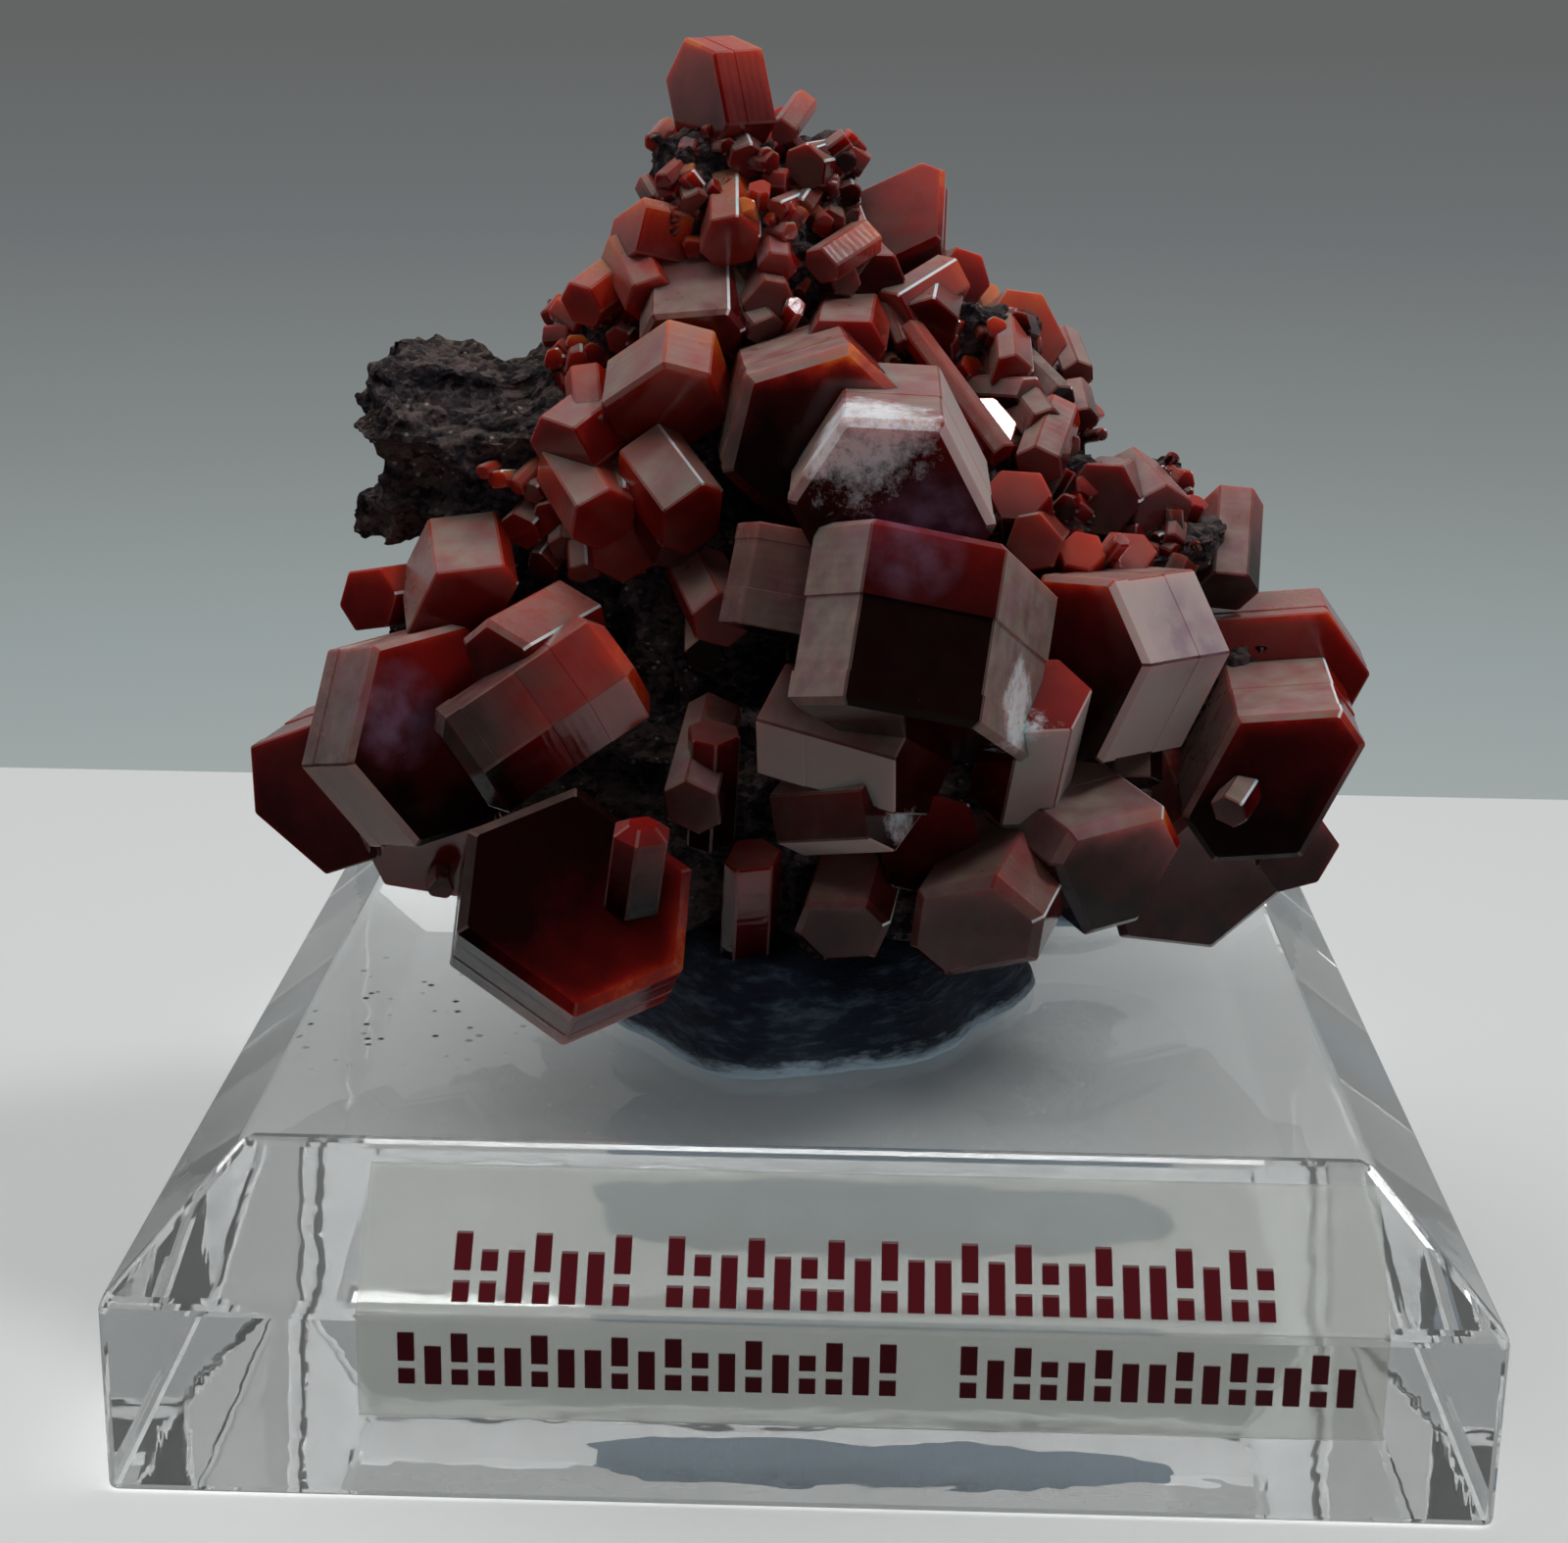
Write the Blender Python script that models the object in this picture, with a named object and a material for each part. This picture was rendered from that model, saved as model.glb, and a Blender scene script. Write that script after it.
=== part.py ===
"""Vanadinite crystals on a dark matrix, set in putty on a bevelled clear block.

Blender 4.5. World axes: +X to the right, -Y to the front, +Z up. The origin is the centre of the
block's underside. Sizes below are in millimetres and angles in degrees; MM turns them into metres.
"""
import math
import random
from collections import namedtuple

import bmesh
import bpy
from mathutils import Matrix, Vector, noise

MM = 0.001
GAP = 0.3                    # left between two pieces that touch

# The clear block: upright sides, then a bevel up to a smaller top face.
BLOCK_WIDTH = 50.0
BLOCK_SIDE_HEIGHT = 7.5
BLOCK_HEIGHT = 12.1
BLOCK_TOP_INSET = 4.5
BLOCK_EDGE_ROUND = 0.35

# The label film, folded over the front edge of the block.
FILM_WIDTH = 36.4
FILM_CENTRE_X = 2.5
FILM_THICKNESS = 0.3
FILM_DROP = 4.0              # down the upright face
FILM_RISE_SHARE = 0.86       # of the bevel's slope

# The putty between the block and the matrix: a round pad at its foot, and a thin square one spread
# out behind. Each ring of a pad is (height, share of the pad's radii).
PUTTY_TOP = 15.6
PUTTY_POINTS = 36
FOOT_CENTRE = (-0.4, -3.6)
FOOT_RADII = (9.0, 10.0)
FOOT_RINGS = [(BLOCK_HEIGHT + GAP, 1.0), (BLOCK_HEIGHT + GAP + 0.5, 1.03), (14.0, 0.93), (PUTTY_TOP, 0.78)]
SPREAD_CENTRE = (3.5, 10.2)
SPREAD_RADII = (13.4, 6.8)
SPREAD_BOXINESS = 0.6
SPREAD_RINGS = [(BLOCK_HEIGHT + GAP, 1.0), (BLOCK_HEIGHT + GAP + 0.4, 1.02), (13.4, 0.97), (13.7, 0.9)]

# The matrix stands on the putty with a flat foot.
MATRIX_FOOT_Z = PUTTY_TOP + GAP
SQUARENESS = 3.0             # exponent of the lumps' superellipsoids
ROUGH_SHARE = 0.30           # depth of the rock's lumps and pits, as a share of the radius
ROUGH_SIZE = 3.6             # size of those lumps
BED_THICKNESS = 1.9          # the rock is bedded, with flat layers that weather in and out
BED_RELIEF = 0.035
ROOT_DEPTH = 1.2             # how deep a small crystal goes into the rock
MAX_SMALL_LENGTH = 7.0

# A pyramid face of vanadinite leans 39.4 degrees from the base face.
PYRAMID_RUN = 1.0 / math.tan(math.radians(39.4))

Lump = namedtuple("Lump", "centre radii cuts")
LUMPS = [
    Lump((0.5, 2.0, 27.0), (12.5, 7.5, 10.5), 3),
    Lump((1.0, -1.5, 20.0), (13.0, 8.5, 5.0), 3),
    Lump((-3.2, 1.6, 39.3), (4.4, 4.2, 8.2), 3),
    Lump((-13.1, 1.0, 33.7), (6.4, 4.6, 4.5), 3),
    Lump((-8.4, 1.2, 37.0), (3.2, 3.4, 3.6), 2),
    Lump((10.4, 1.0, 28.8), (5.6, 5.0, 4.8), 3),
    Lump((4.2, 3.6, 35.4), (4.8, 3.6, 4.6), 2),
    Lump((13.2, 0.6, 31.2), (1.5, 1.7, 1.9), 2),
    Lump((14.6, 1.4, 23.4), (5.4, 4.4, 4.4), 2),
    Lump((-13.4, 0.0, 23.4), (5.4, 4.4, 4.4), 2),
]

# Each list below is one solid of crystals grown into each other. The names say where it stands.
# A crystal is a six-sided prism. at is its middle; azimuth and elevation say where its front end
# looks (0, 0 is straight to the front, azimuth 90 is to the right); spin turns it about its own
# axis; sides are the six distances from the axis to the prism faces; bevel is the height of the
# pyramid faces at both ends.
Crystal = namedtuple("Crystal", "at azimuth elevation spin sides length bevel", defaults=(0.0,))


def even(radius):
    """Six equal side distances."""
    return (radius,) * 6


GROUPS = {
    "crystals_centre": [
        Crystal((-0.3, -7.5, 36.4), 5, 0, 47, (3.4, 3.2, 3.3, 3.3, 3.3, 3.2), 8.0, 0.3),
        Crystal((0.9, -3.5, 39.3), -2, -4, 30, (1.5, 1.2, 1.5, 1.4, 1.3, 1.4), 5.5),
        Crystal((2.7, -11.0, 35.0), 0, -5, 28, (3.1, 3.4, 3.4, 3.2, 3.3, 3.4), 9.0, 0.25),
        Crystal((4.0, -14.0, 29.4), -19, 115, 59, (5.4, 4.8, 3.4, 5.4, 4.7, 3.6), 6.7, 0.25),
        Crystal((0.6, -12.2, 30.9), -30, 110, 51, (3.0, 3.0, 3.0, 3.8, 2.8, 3.8), 3.8),
        Crystal((1.6, -11.2, 25.0), 62, -6, 14, (2.5, 2.2, 2.4, 2.5, 2.2, 2.4), 6.0),
        Crystal((1.3, -11.6, 22.6), 49, 15, 59, (1.9, 1.5, 1.8, 1.9, 1.5, 1.9), 4.8),
        Crystal((8.2, -11.2, 25.0), 10, 60, 30, (1.9, 1.9, 1.7, 1.9, 1.9, 1.7), 5.2),
    ],
    "crystals_right": [
        Crystal((11.6, -7.8, 27.4), -43, 4, 36, (3.4, 3.5, 3.1, 3.4, 3.6, 3.0), 5.4, 0.2),
    ],
    "crystals_far_right": [
        Crystal((18.1, -5.5, 23.1), -3, -3, 36, (3.8, 2.9, 2.6, 3.7, 3.1, 2.4), 7.6, 0.2),
        Crystal((18.4, -0.6, 24.6), -3, -3, 36, (4.2, 3.6, 3.4, 4.0, 3.6, 3.4), 3.6),
        Crystal((17.0, -8.5, 22.8), -30, -22, 10, even(0.7), 4.0),
        Crystal((15.2, -3.2, 18.6), 8, -20, 20, (3.6, 3.4, 3.0, 3.6, 3.3, 3.2), 6.0, 0.3),
        Crystal((19.0, -4.0, 19.4), 20, -15, 40, even(1.6), 4.0),
    ],
    "crystals_foot": [
        Crystal((10.4, -10.0, 20.7), 33, -11, 34, (2.9, 2.2, 3.2, 2.3, 2.8, 2.7), 5.0, 0.3),
        Crystal((7.1, -11.6, 19.2), -20, -14, 50, (2.5, 2.0, 2.4, 2.7, 1.9, 2.6), 6.0, 0.3),
        Crystal((1.6, -10.5, 18.6), -10, -20, 40, (1.8, 1.4, 1.7, 1.7, 1.5, 1.6), 5.0, 0.2),
        Crystal((4.0, -9.0, 20.5), 10, 10, 15, even(1.9), 6.0),
    ],
    "crystals_low_front": [
        Crystal((-9.1, -14.8, 18.8), 13, 35, 50, (3.6, 4.0, 4.2, 3.6, 4.0, 4.2), 5.2, 0.3),
        Crystal((-6.4, -16.6, 21.4), 30, 74, 30, (1.0, 0.9, 1.0, 1.0, 0.9, 1.0), 4.0, 0.4),
    ],
    "crystals_ember": [
        Crystal((-10.4, -11.6, 25.9), -69, -31, 40, (2.3, 2.2, 2.4, 2.3, 2.2, 2.4), 7.4, 0.5),
        Crystal((-10.9, -9.0, 28.0), -30, -8, 8, (1.7, 1.5, 1.6, 1.6, 1.7, 1.5), 5.0, 0.2),
    ],
    "crystals_left": [
        Crystal((-15.8, -8.0, 24.0), 44, 14, 34, (4.3, 3.9, 3.8, 4.0, 4.1, 3.5), 3.6, 0.2),
        Crystal((-19.4, -4.5, 21.0), -25, -10, 54, (3.3, 2.9, 3.2, 3.0, 3.2, 2.9), 4.0),
        Crystal((-15.6, -4.6, 19.6), 0, -15, 20, (2.6, 2.2, 2.4, 2.5, 2.3, 2.4), 5.0),
    ],
    "crystals_left_back": [
        Crystal((-17.2, -3.0, 28.4), -30, 5, 43, (1.4, 1.2, 1.3, 1.4, 1.2, 1.3), 4.0),
        Crystal((-14.4, -5.4, 29.6), 12, -16, 36, (2.4, 1.7, 1.6, 2.4, 1.7, 1.6), 4.6),
    ],
    "crystals_upper_left": [
        Crystal((-6.0, -5.6, 37.4), -2, -36, 12, (2.2, 2.5, 1.9, 2.4, 2.3, 2.0), 2.6, 0.15),
        Crystal((-5.8, -7.4, 33.8), 31, -24, 8, (1.2, 1.6, 1.3, 1.3, 1.5, 1.4), 4.2),
        Crystal((-9.0, -4.6, 35.6), -38, -22, 20, even(1.5), 4.0),
        Crystal((-9.2, -6.0, 33.4), 28, -24, 0, even(1.3), 4.0),
    ],
    "crystals_top": [
        Crystal((-5.3, -2.6, 40.7), 4, -26, 36, (1.9, 1.1, 1.8, 1.8, 1.1, 1.8), 6.0, 0.15),
        Crystal((-8.9, -2.0, 40.8), -32, -20, 20, even(0.9), 3.0),
        Crystal((-7.4, -2.4, 41.4), 24, -28, 50, even(1.0), 3.4),
        Crystal((-7.0, -1.8, 42.8), -60, 13, 55, (1.8, 1.0, 1.4, 1.7, 1.1, 1.3), 2.2),
    ],
    "crystal_summit": [
        Crystal((-4.3, 0.0, 48.3), -53, -2, 18, (1.8, 2.0, 2.1, 2.0, 1.8, 2.3), 2.4, 0.1),
    ],
    "crystal_upper_right": [
        Crystal((3.1, 5.0, 42.8), -12, 49, 7, (1.8, 2.9, 2.1, 2.0, 2.7, 2.3), 1.8, 0.15),
    ],
}

# Single small crystals, all fused to the matrix: at is the middle of the front end. Each reaches
# back into the rock, or as far as its length where the rock isn't behind it.
Small = namedtuple("Small", "at azimuth elevation radius length")
SMALL_CRYSTALS = [
    Small((-1.9, 2.2, 47.6), 10, 62, 0.35, 3),
    Small((-1.8, -0.6, 46.9), 5, 10, 0.5, 3),
    Small((-0.9, -1.6, 45.6), -12, 12, 0.85, 3),
    Small((-6.9, -0.4, 46.4), -30, 10, 0.4, 2),
    Small((-5.6, -1.6, 46.0), -10, 0, 0.45, 2.4),
    Small((-5.1, -2.6, 44.2), -8, 5, 0.6, 2.4),
    Small((-2.6, -3.0, 45.0), 10, 50, 0.4, 2.6),
    Small((-3.3, -3.6, 44.3), -15, 45, 0.5, 2.8),
    Small((-3.1, -1.8, 45.8), 5, -5, 0.75, 3),
    Small((-2.0, -3.0, 44.1), 0, 10, 0.4, 2.4),
    Small((-1.4, -3.2, 43.3), 20, 20, 0.4, 2.4),
    Small((-1.0, -2.2, 44.1), -20, 0, 0.4, 2.4),
    Small((0.2, -1.4, 43.4), 10, 15, 0.6, 3),
    Small((-3.8, -3.8, 42.9), 12, 4, 1.1, 3.4),
    Small((-1.8, -4.0, 42.0), 0, 0, 0.7, 3),
    Small((-0.2, -3.4, 42.0), -10, 10, 0.75, 3),
    Small((0.8, -2.2, 41.3), 12, 20, 0.65, 3),
    Small((2.2, -1.0, 41.2), 10, 25, 1, 3.4),
    Small((4.1, -1.4, 39.6), 14, 8, 1.1, 4),
    Small((2.6, -1.0, 39.8), -25, 5, 0.95, 4),
    Small((3.2, -1.6, 38.7), 10, -10, 0.45, 3),
    Small((-2.2, -4.6, 40.6), 8, 10, 0.9, 3.6),
    Small((-2.2, -4.8, 39.6), 8, 5, 0.75, 3.6),
    Small((-1.1, -4.8, 40.6), 25, 40, 0.4, 3),
    Small((8.3, 3.0, 38.7), 20, 25, 1.6, 5),
    Small((6.4, 2.8, 37.9), -12, 18, 0.95, 3.6),
    Small((7.5, -1.4, 37.5), 5, 5, 0.85, 3),
    Small((8.3, -2.2, 36.9), 15, 20, 0.8, 3),
    Small((10.5, 2.0, 37.1), 25, 5, 0.65, 3.6),
    Small((9.5, -1.6, 36.5), 20, 15, 0.7, 3),
    Small((6.4, -4.2, 36.0), 26, 39, 1.2, 4),
    Small((7.1, -5.2, 35.0), 20, 0, 0.55, 3),
    Small((8.8, -3.4, 35.7), 10, 18, 0.8, 3),
    Small((8.5, -4.8, 34.4), 5, 5, 0.95, 3.4),
    Small((10.5, -1.8, 35.9), 25, 20, 0.55, 3),
    Small((9.9, -3.2, 35.0), 30, 25, 0.45, 3),
    Small((11.4, 0.0, 35.0), 30, 30, 0.25, 2),
    Small((11.1, -4.2, 33.0), -12, 6, 1.4, 4),
    Small((7.6, -6.6, 33.7), -10, 42, 1.1, 4),
    Small((8.2, -7.6, 32.0), -10, 30, 1, 4),
    Small((10.3, -6.4, 31.5), 0, 45, 0.9, 4),
    Small((12.2, -5.6, 31.3), 10, 50, 1, 4),
    Small((11.8, -6.6, 32.0), 30, 45, 0.35, 3),
    Small((13.7, -2.8, 32.2), 22, 20, 1.1, 4),
    Small((15.2, -1.6, 30.5), 20, 30, 1.1, 5),
    Small((16.7, -2.4, 29.1), -30, -14, 1.1, 5),
    Small((18.1, -2.0, 27.1), 0, 60, 0.7, 4),
    Small((-8.2, -2.6, 38.8), -10, 10, 0.6, 3),
    Small((-9.8, -2.4, 37.8), -20, 10, 0.6, 3),
    Small((-9.0, -5.8, 35.7), -5, 0, 0.75, 3),
    Small((-13.5, -4.4, 33.8), -20, 15, 0.3, 2),
    Small((-12.9, -4.4, 33.5), 0, 30, 0.4, 2),
    Small((-12.2, -4.2, 33.1), -15, 0, 0.4, 2),
    Small((-11.6, -4.2, 32.9), 10, 10, 0.45, 2),
    Small((-12.1, -4.2, 31.4), -15, 15, 0.8, 3),
    Small((-10.9, -4.4, 32.0), 10, 20, 0.7, 3),
    Small((-10.2, -4.4, 30.7), 0, -10, 0.75, 3),
    Small((-11.3, -3.8, 29.9), -20, 0, 0.65, 3),
    Small((-9.4, -5.2, 29.9), 5, -15, 0.65, 3),
    Small((-9.3, -4.8, 31.6), 10, 10, 0.6, 3),
    Small((-7.5, -6.6, 31.3), 0, -4, 1.3, 4),
    Small((-5.3, -7.6, 31.6), 14, -4, 1.1, 4),
    Small((-7.8, -7.0, 33.1), -10, 20, 0.7, 3),
    Small((-8.6, -6.8, 33.5), 20, 40, 0.3, 3),
    Small((-3.6, -10.2, 29.3), 0, 12, 1.1, 5),
    Small((-4.4, -9.4, 27.7), 20, 0, 0.7, 4),
    Small((-3.9, -11.4, 25.2), 10, 72, 0.95, 5),
    Small((-4.6, -12.8, 22.6), 0, 14, 1.2, 5),
    Small((-2.3, -11.0, 20.2), 8, 72, 1.1, 5),
    Small((-15.0, -8.0, 17.5), 10, 30, 0.5, 3),
    Small((12.6, -8.0, 22.5), -10, -20, 1.1, 4),
    Small((5.8, 4.6, 40.8), 30, 15, 1.3, 6),
]

SMALL_SEED = 3
SMALL_TURN = 30.0            # how far a small crystal may turn aside
SMALL_DROOP = (12.0, 40.0)    # and hang forward
SMALL_HANGING = (1.25, 38.0)  # if it is thinner and lies flatter than this

# A loose crust of small crystals over the back.
CRUST_SEED = 7
CRUST_COUNT = 30
CRUST_RADII = (0.7, 1.9)
CRUST_HEIGHTS = (19.0, 43.5)
CRUST_REACH = 10.0           # how far to either side
CRUST_FACING = 0.35          # least share of a root's normal that looks to the back
CRUST_TRIES = 4000
CAST_FROM = 60.0             # distance from which the rock's skin is looked up
CRUMB_SIZE = 1.5             # a larger piece cut loose means that two crystals don't meet


def axes_of(azimuth, elevation, spin):
    """Matrix whose columns are a crystal's two cross axes and its own axis."""
    turn = math.radians(azimuth)
    tilt = math.radians(elevation)
    along = Vector((math.sin(turn) * math.cos(tilt), -math.cos(turn) * math.cos(tilt), math.sin(tilt)))
    right = Vector((math.cos(turn), math.sin(turn), 0.0))
    up = along.cross(right)
    swing = math.radians(spin)
    first = math.cos(swing) * right + math.sin(swing) * up
    return Matrix((first, along.cross(first), along)).transposed()


def hexagon(sides, grow):
    """Corners of the six-sided outline whose faces lie at the given distances."""
    corners = []
    for k in range(6):
        turn = math.radians(60 * k)
        here = sides[k] + grow
        following = sides[(k + 1) % 6] + grow
        across = (following - here * math.cos(math.radians(60))) / math.sin(math.radians(60))
        corners.append((here * math.cos(turn) - across * math.sin(turn),
                        here * math.sin(turn) + across * math.cos(turn)))
    return corners


def prism_mesh(bm, crystal, grow=0.0):
    """Add one crystal to bm, in metres, grown on every side by grow."""
    half = crystal.length / 2 + grow
    rings = [(-half, 0.0), (half, 0.0)]
    if crystal.bevel > 0:
        run = crystal.bevel * PYRAMID_RUN
        shoulder = half - crystal.bevel
        rings = [(-half, -run), (-shoulder, 0.0), (shoulder, 0.0), (half, -run)]
    frame = axes_of(crystal.azimuth, crystal.elevation, crystal.spin)
    loops = []
    for height, inset in rings:
        corners = hexagon(crystal.sides, grow + inset)
        loops.append([bm.verts.new((Vector(crystal.at) + frame @ Vector((x, y, height))) * MM)
                      for x, y in corners])
    for lower, upper in zip(loops, loops[1:]):
        for k in range(6):
            bm.faces.new((lower[k], lower[(k + 1) % 6], upper[(k + 1) % 6], upper[k]))
    bm.faces.new(list(reversed(loops[0])))
    bm.faces.new(loops[-1])


def object_from(bm, name):
    """New scene object from a bmesh, which is freed."""
    mesh = bpy.data.meshes.new(name)
    bmesh.ops.recalc_face_normals(bm, faces=bm.faces)
    bm.to_mesh(mesh)
    bm.free()
    thing = bpy.data.objects.new(name, mesh)
    bpy.context.collection.objects.link(thing)
    return thing


def crystal_object(crystal, grow=0.0):
    bm = bmesh.new()
    prism_mesh(bm, crystal, grow)
    return object_from(bm, "tool")


def combine(thing, tool, operation):
    """Boolean of thing with tool, kept in thing; the tool is removed."""
    step = thing.modifiers.new("step", "BOOLEAN")
    step.operation = operation
    step.solver = "EXACT"
    step.object = tool
    bpy.context.view_layer.update()
    result = bpy.data.meshes.new_from_object(thing.evaluated_get(bpy.context.evaluated_depsgraph_get()))
    thing.modifiers.clear()
    old = thing.data
    thing.data = result
    bpy.data.meshes.remove(old)
    bpy.data.objects.remove(tool, do_unlink=True)


def islands(bm):
    """Lists of the vertices that hang together."""
    left = set(bm.verts)
    found = []
    while left:
        stack = [left.pop()]
        island = []
        while stack:
            vert = stack.pop()
            island.append(vert)
            for edge in vert.link_edges:
                other = edge.other_vert(vert)
                if other in left:
                    left.remove(other)
                    stack.append(other)
        found.append(island)
    return found


def span(verts):
    """Longest side of the box around some vertices, in millimetres."""
    return max(max(v.co[k] for v in verts) - min(v.co[k] for v in verts) for k in range(3)) / MM


def keep_largest(thing):
    """Drop the crumbs that a cut leaves beside the main body."""
    bm = bmesh.new()
    bm.from_mesh(thing.data)
    pieces = sorted(islands(bm), key=span)
    for crumb in pieces[:-1]:
        if span(crumb) > CRUMB_SIZE:
            raise ValueError(thing.name + " falls apart")
        bmesh.ops.delete(bm, geom=crumb, context="VERTS")
    bmesh.ops.dissolve_degenerate(bm, edges=bm.edges, dist=0.002 * MM)
    bm.to_mesh(thing.data)
    bm.free()


def material(name, colour, roughness, **sockets):
    made = bpy.data.materials.new(name)
    made.use_nodes = True
    shader = made.node_tree.nodes["Principled BSDF"]
    shader.inputs["Base Color"].default_value = (*colour, 1.0)
    shader.inputs["Roughness"].default_value = roughness
    shader.inputs["Metallic"].default_value = 0.0
    for socket, value in sockets.items():
        shader.inputs[socket].default_value = value
    made.diffuse_color = (*colour, 1.0)
    return made


def build_block(acrylic):
    """Square block with upright sides and a bevelled top."""
    half = BLOCK_WIDTH / 2
    top = half - BLOCK_TOP_INSET
    bm = bmesh.new()
    rings = []
    for reach, height in ((half, 0.0), (half, BLOCK_SIDE_HEIGHT), (top, BLOCK_HEIGHT)):
        rings.append([bm.verts.new((x * reach * MM, y * reach * MM, height * MM))
                      for x, y in ((-1, -1), (1, -1), (1, 1), (-1, 1))])
    for lower, upper in zip(rings, rings[1:]):
        for k in range(4):
            bm.faces.new((lower[k], lower[(k + 1) % 4], upper[(k + 1) % 4], upper[k]))
    bm.faces.new(list(reversed(rings[0])))
    bm.faces.new(rings[-1])
    block = object_from(bm, "acrylic_block")
    rounding = block.modifiers.new("edges", "BEVEL")
    rounding.width = BLOCK_EDGE_ROUND * MM
    rounding.segments = 1
    block.data.materials.append(acrylic)
    return block


def build_film(film_stuff):
    """Thin strip folded over the block's front edge, just off its faces."""
    run = BLOCK_TOP_INSET * FILM_RISE_SHARE
    rise = (BLOCK_HEIGHT - BLOCK_SIDE_HEIGHT) * FILM_RISE_SHARE
    slope = math.atan2(rise, run)
    fold = math.tan(slope / 2)

    def section(offset):
        front = -BLOCK_WIDTH / 2 - offset
        crease = BLOCK_SIDE_HEIGHT + offset * math.tan((math.pi / 2 - slope) / 2)
        upper = (-BLOCK_WIDTH / 2 + run - offset * math.sin(slope),
                 BLOCK_SIDE_HEIGHT + rise + offset * math.cos(slope))
        return [(front, BLOCK_SIDE_HEIGHT - FILM_DROP), (front, crease), upper]

    outline = section(GAP) + list(reversed(section(GAP + FILM_THICKNESS)))
    bm = bmesh.new()
    ends = []
    for x in (FILM_CENTRE_X - FILM_WIDTH / 2, FILM_CENTRE_X + FILM_WIDTH / 2):
        ends.append([bm.verts.new((x * MM, y * MM, z * MM)) for y, z in outline])
    count = len(outline)
    for k in range(count):
        bm.faces.new((ends[0][k], ends[0][(k + 1) % count], ends[1][(k + 1) % count], ends[1][k]))
    for a, b, c, d in ((0, 1, 4, 5), (1, 2, 3, 4)):
        bm.faces.new([ends[0][k] for k in (a, b, c, d)])
        bm.faces.new([ends[1][k] for k in (d, c, b, a)])
    film = object_from(bm, "label_film")
    film.data.materials.append(film_stuff)
    return film


def pad_object(name, centre, radii, rings_wanted, boxy):
    """One pad of putty with a few soft bulges: round, or squarish if boxy is below 1."""
    bm = bmesh.new()
    rings = []
    for height, scale in rings_wanted:
        ring = []
        for k in range(PUTTY_POINTS):
            turn = 2 * math.pi * k / PUTTY_POINTS
            reach = scale * (1.0 + 0.05 * math.sin(3 * turn + 0.6) + 0.03 * math.sin(7 * turn + 2.0))
            x, y = [math.copysign(abs(c) ** boxy, c) for c in (math.cos(turn), math.sin(turn))]
            ring.append(bm.verts.new(((centre[0] + x * radii[0] * reach) * MM,
                                      (centre[1] + y * radii[1] * reach) * MM, height * MM)))
        rings.append(ring)
    for lower, upper in zip(rings, rings[1:]):
        for k in range(PUTTY_POINTS):
            following = (k + 1) % PUTTY_POINTS
            bm.faces.new((lower[k], lower[following], upper[following], upper[k]))
    bm.faces.new(list(reversed(rings[0])))
    bm.faces.new(rings[-1])
    return object_from(bm, name)


def build_putty(putty_stuff):
    """Putty pressed up around the foot of the matrix and spread on the block behind it."""
    putty = pad_object("mounting_putty", FOOT_CENTRE, FOOT_RADII, FOOT_RINGS, 1.0)
    spread = pad_object("spread", SPREAD_CENTRE, SPREAD_RADII, SPREAD_RINGS, SPREAD_BOXINESS)
    combine(putty, spread, "UNION")
    putty.data.materials.clear()
    putty.data.materials.append(putty_stuff)
    return putty


def lump_object(lump):
    """One lump of rock: a squarish ellipsoid with a rough skin."""
    bm = bmesh.new()
    bmesh.ops.create_icosphere(bm, subdivisions=lump.cuts, radius=1.0)
    for vert in bm.verts:
        way = vert.co.normalized()
        stretch = sum(abs(c) ** SQUARENESS for c in way) ** (-1.0 / SQUARENESS)
        place = Vector([c * stretch * r for c, r in zip(way, lump.radii)]) + Vector(lump.centre)
        layer = math.sin(place.z / BED_THICKNESS * math.pi) * BED_RELIEF
        rough = noise.fractal(place / ROUGH_SIZE, 0.7, 2.3, 3) * ROUGH_SHARE + layer
        vert.co = (Vector(lump.centre) + (place - Vector(lump.centre)) * (1.0 + rough)) * MM
    return object_from(bm, "lump")


def box_object(low, high):
    bm = bmesh.new()
    bmesh.ops.create_cube(bm, size=1.0)
    for vert in bm.verts:
        vert.co = Vector([(a + b) / 2 + c * (b - a) for a, b, c in zip(low, high, vert.co)]) * MM
    return object_from(bm, "box")


def crust_crystals(surface):
    """Seeded small crystals that stand on the back of the rock."""
    made = []
    for number in range(CRUST_TRIES):
        rng = random.Random(CRUST_SEED * CRUST_TRIES + number)
        turn = rng.uniform(0.0, math.pi)
        height = rng.uniform(*CRUST_HEIGHTS)
        origin = Vector((CAST_FROM * math.cos(turn), CAST_FROM * math.sin(turn), height)) * MM
        way = (Vector((-1.0, 0.0, height)) * MM - origin).normalized()
        hit, place, normal, _ = surface.ray_cast(origin, way)
        radius = rng.uniform(*CRUST_RADII)
        lean = Vector([rng.uniform(-0.5, 0.5) for _ in range(3)])
        if not hit or normal.y < CRUST_FACING or abs(place.x) > CRUST_REACH * MM:
            continue
        if any((Vector(c.at) - place / MM).length < 0.9 * (c.sides[0] + radius) for c in made):
            continue
        aim = (normal + lean).normalized()
        azimuth = math.degrees(math.atan2(aim.x, -aim.y))
        elevation = math.degrees(math.asin(max(-1.0, min(1.0, aim.z))))
        sides = tuple(radius * rng.uniform(0.85, 1.15) for _ in range(6))
        made.append(Crystal(tuple(place / MM), azimuth, elevation, rng.uniform(0, 60), sides,
                            radius * rng.uniform(1.6, 2.6)))
        if len(made) == CRUST_COUNT:
            break
    return made


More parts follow.
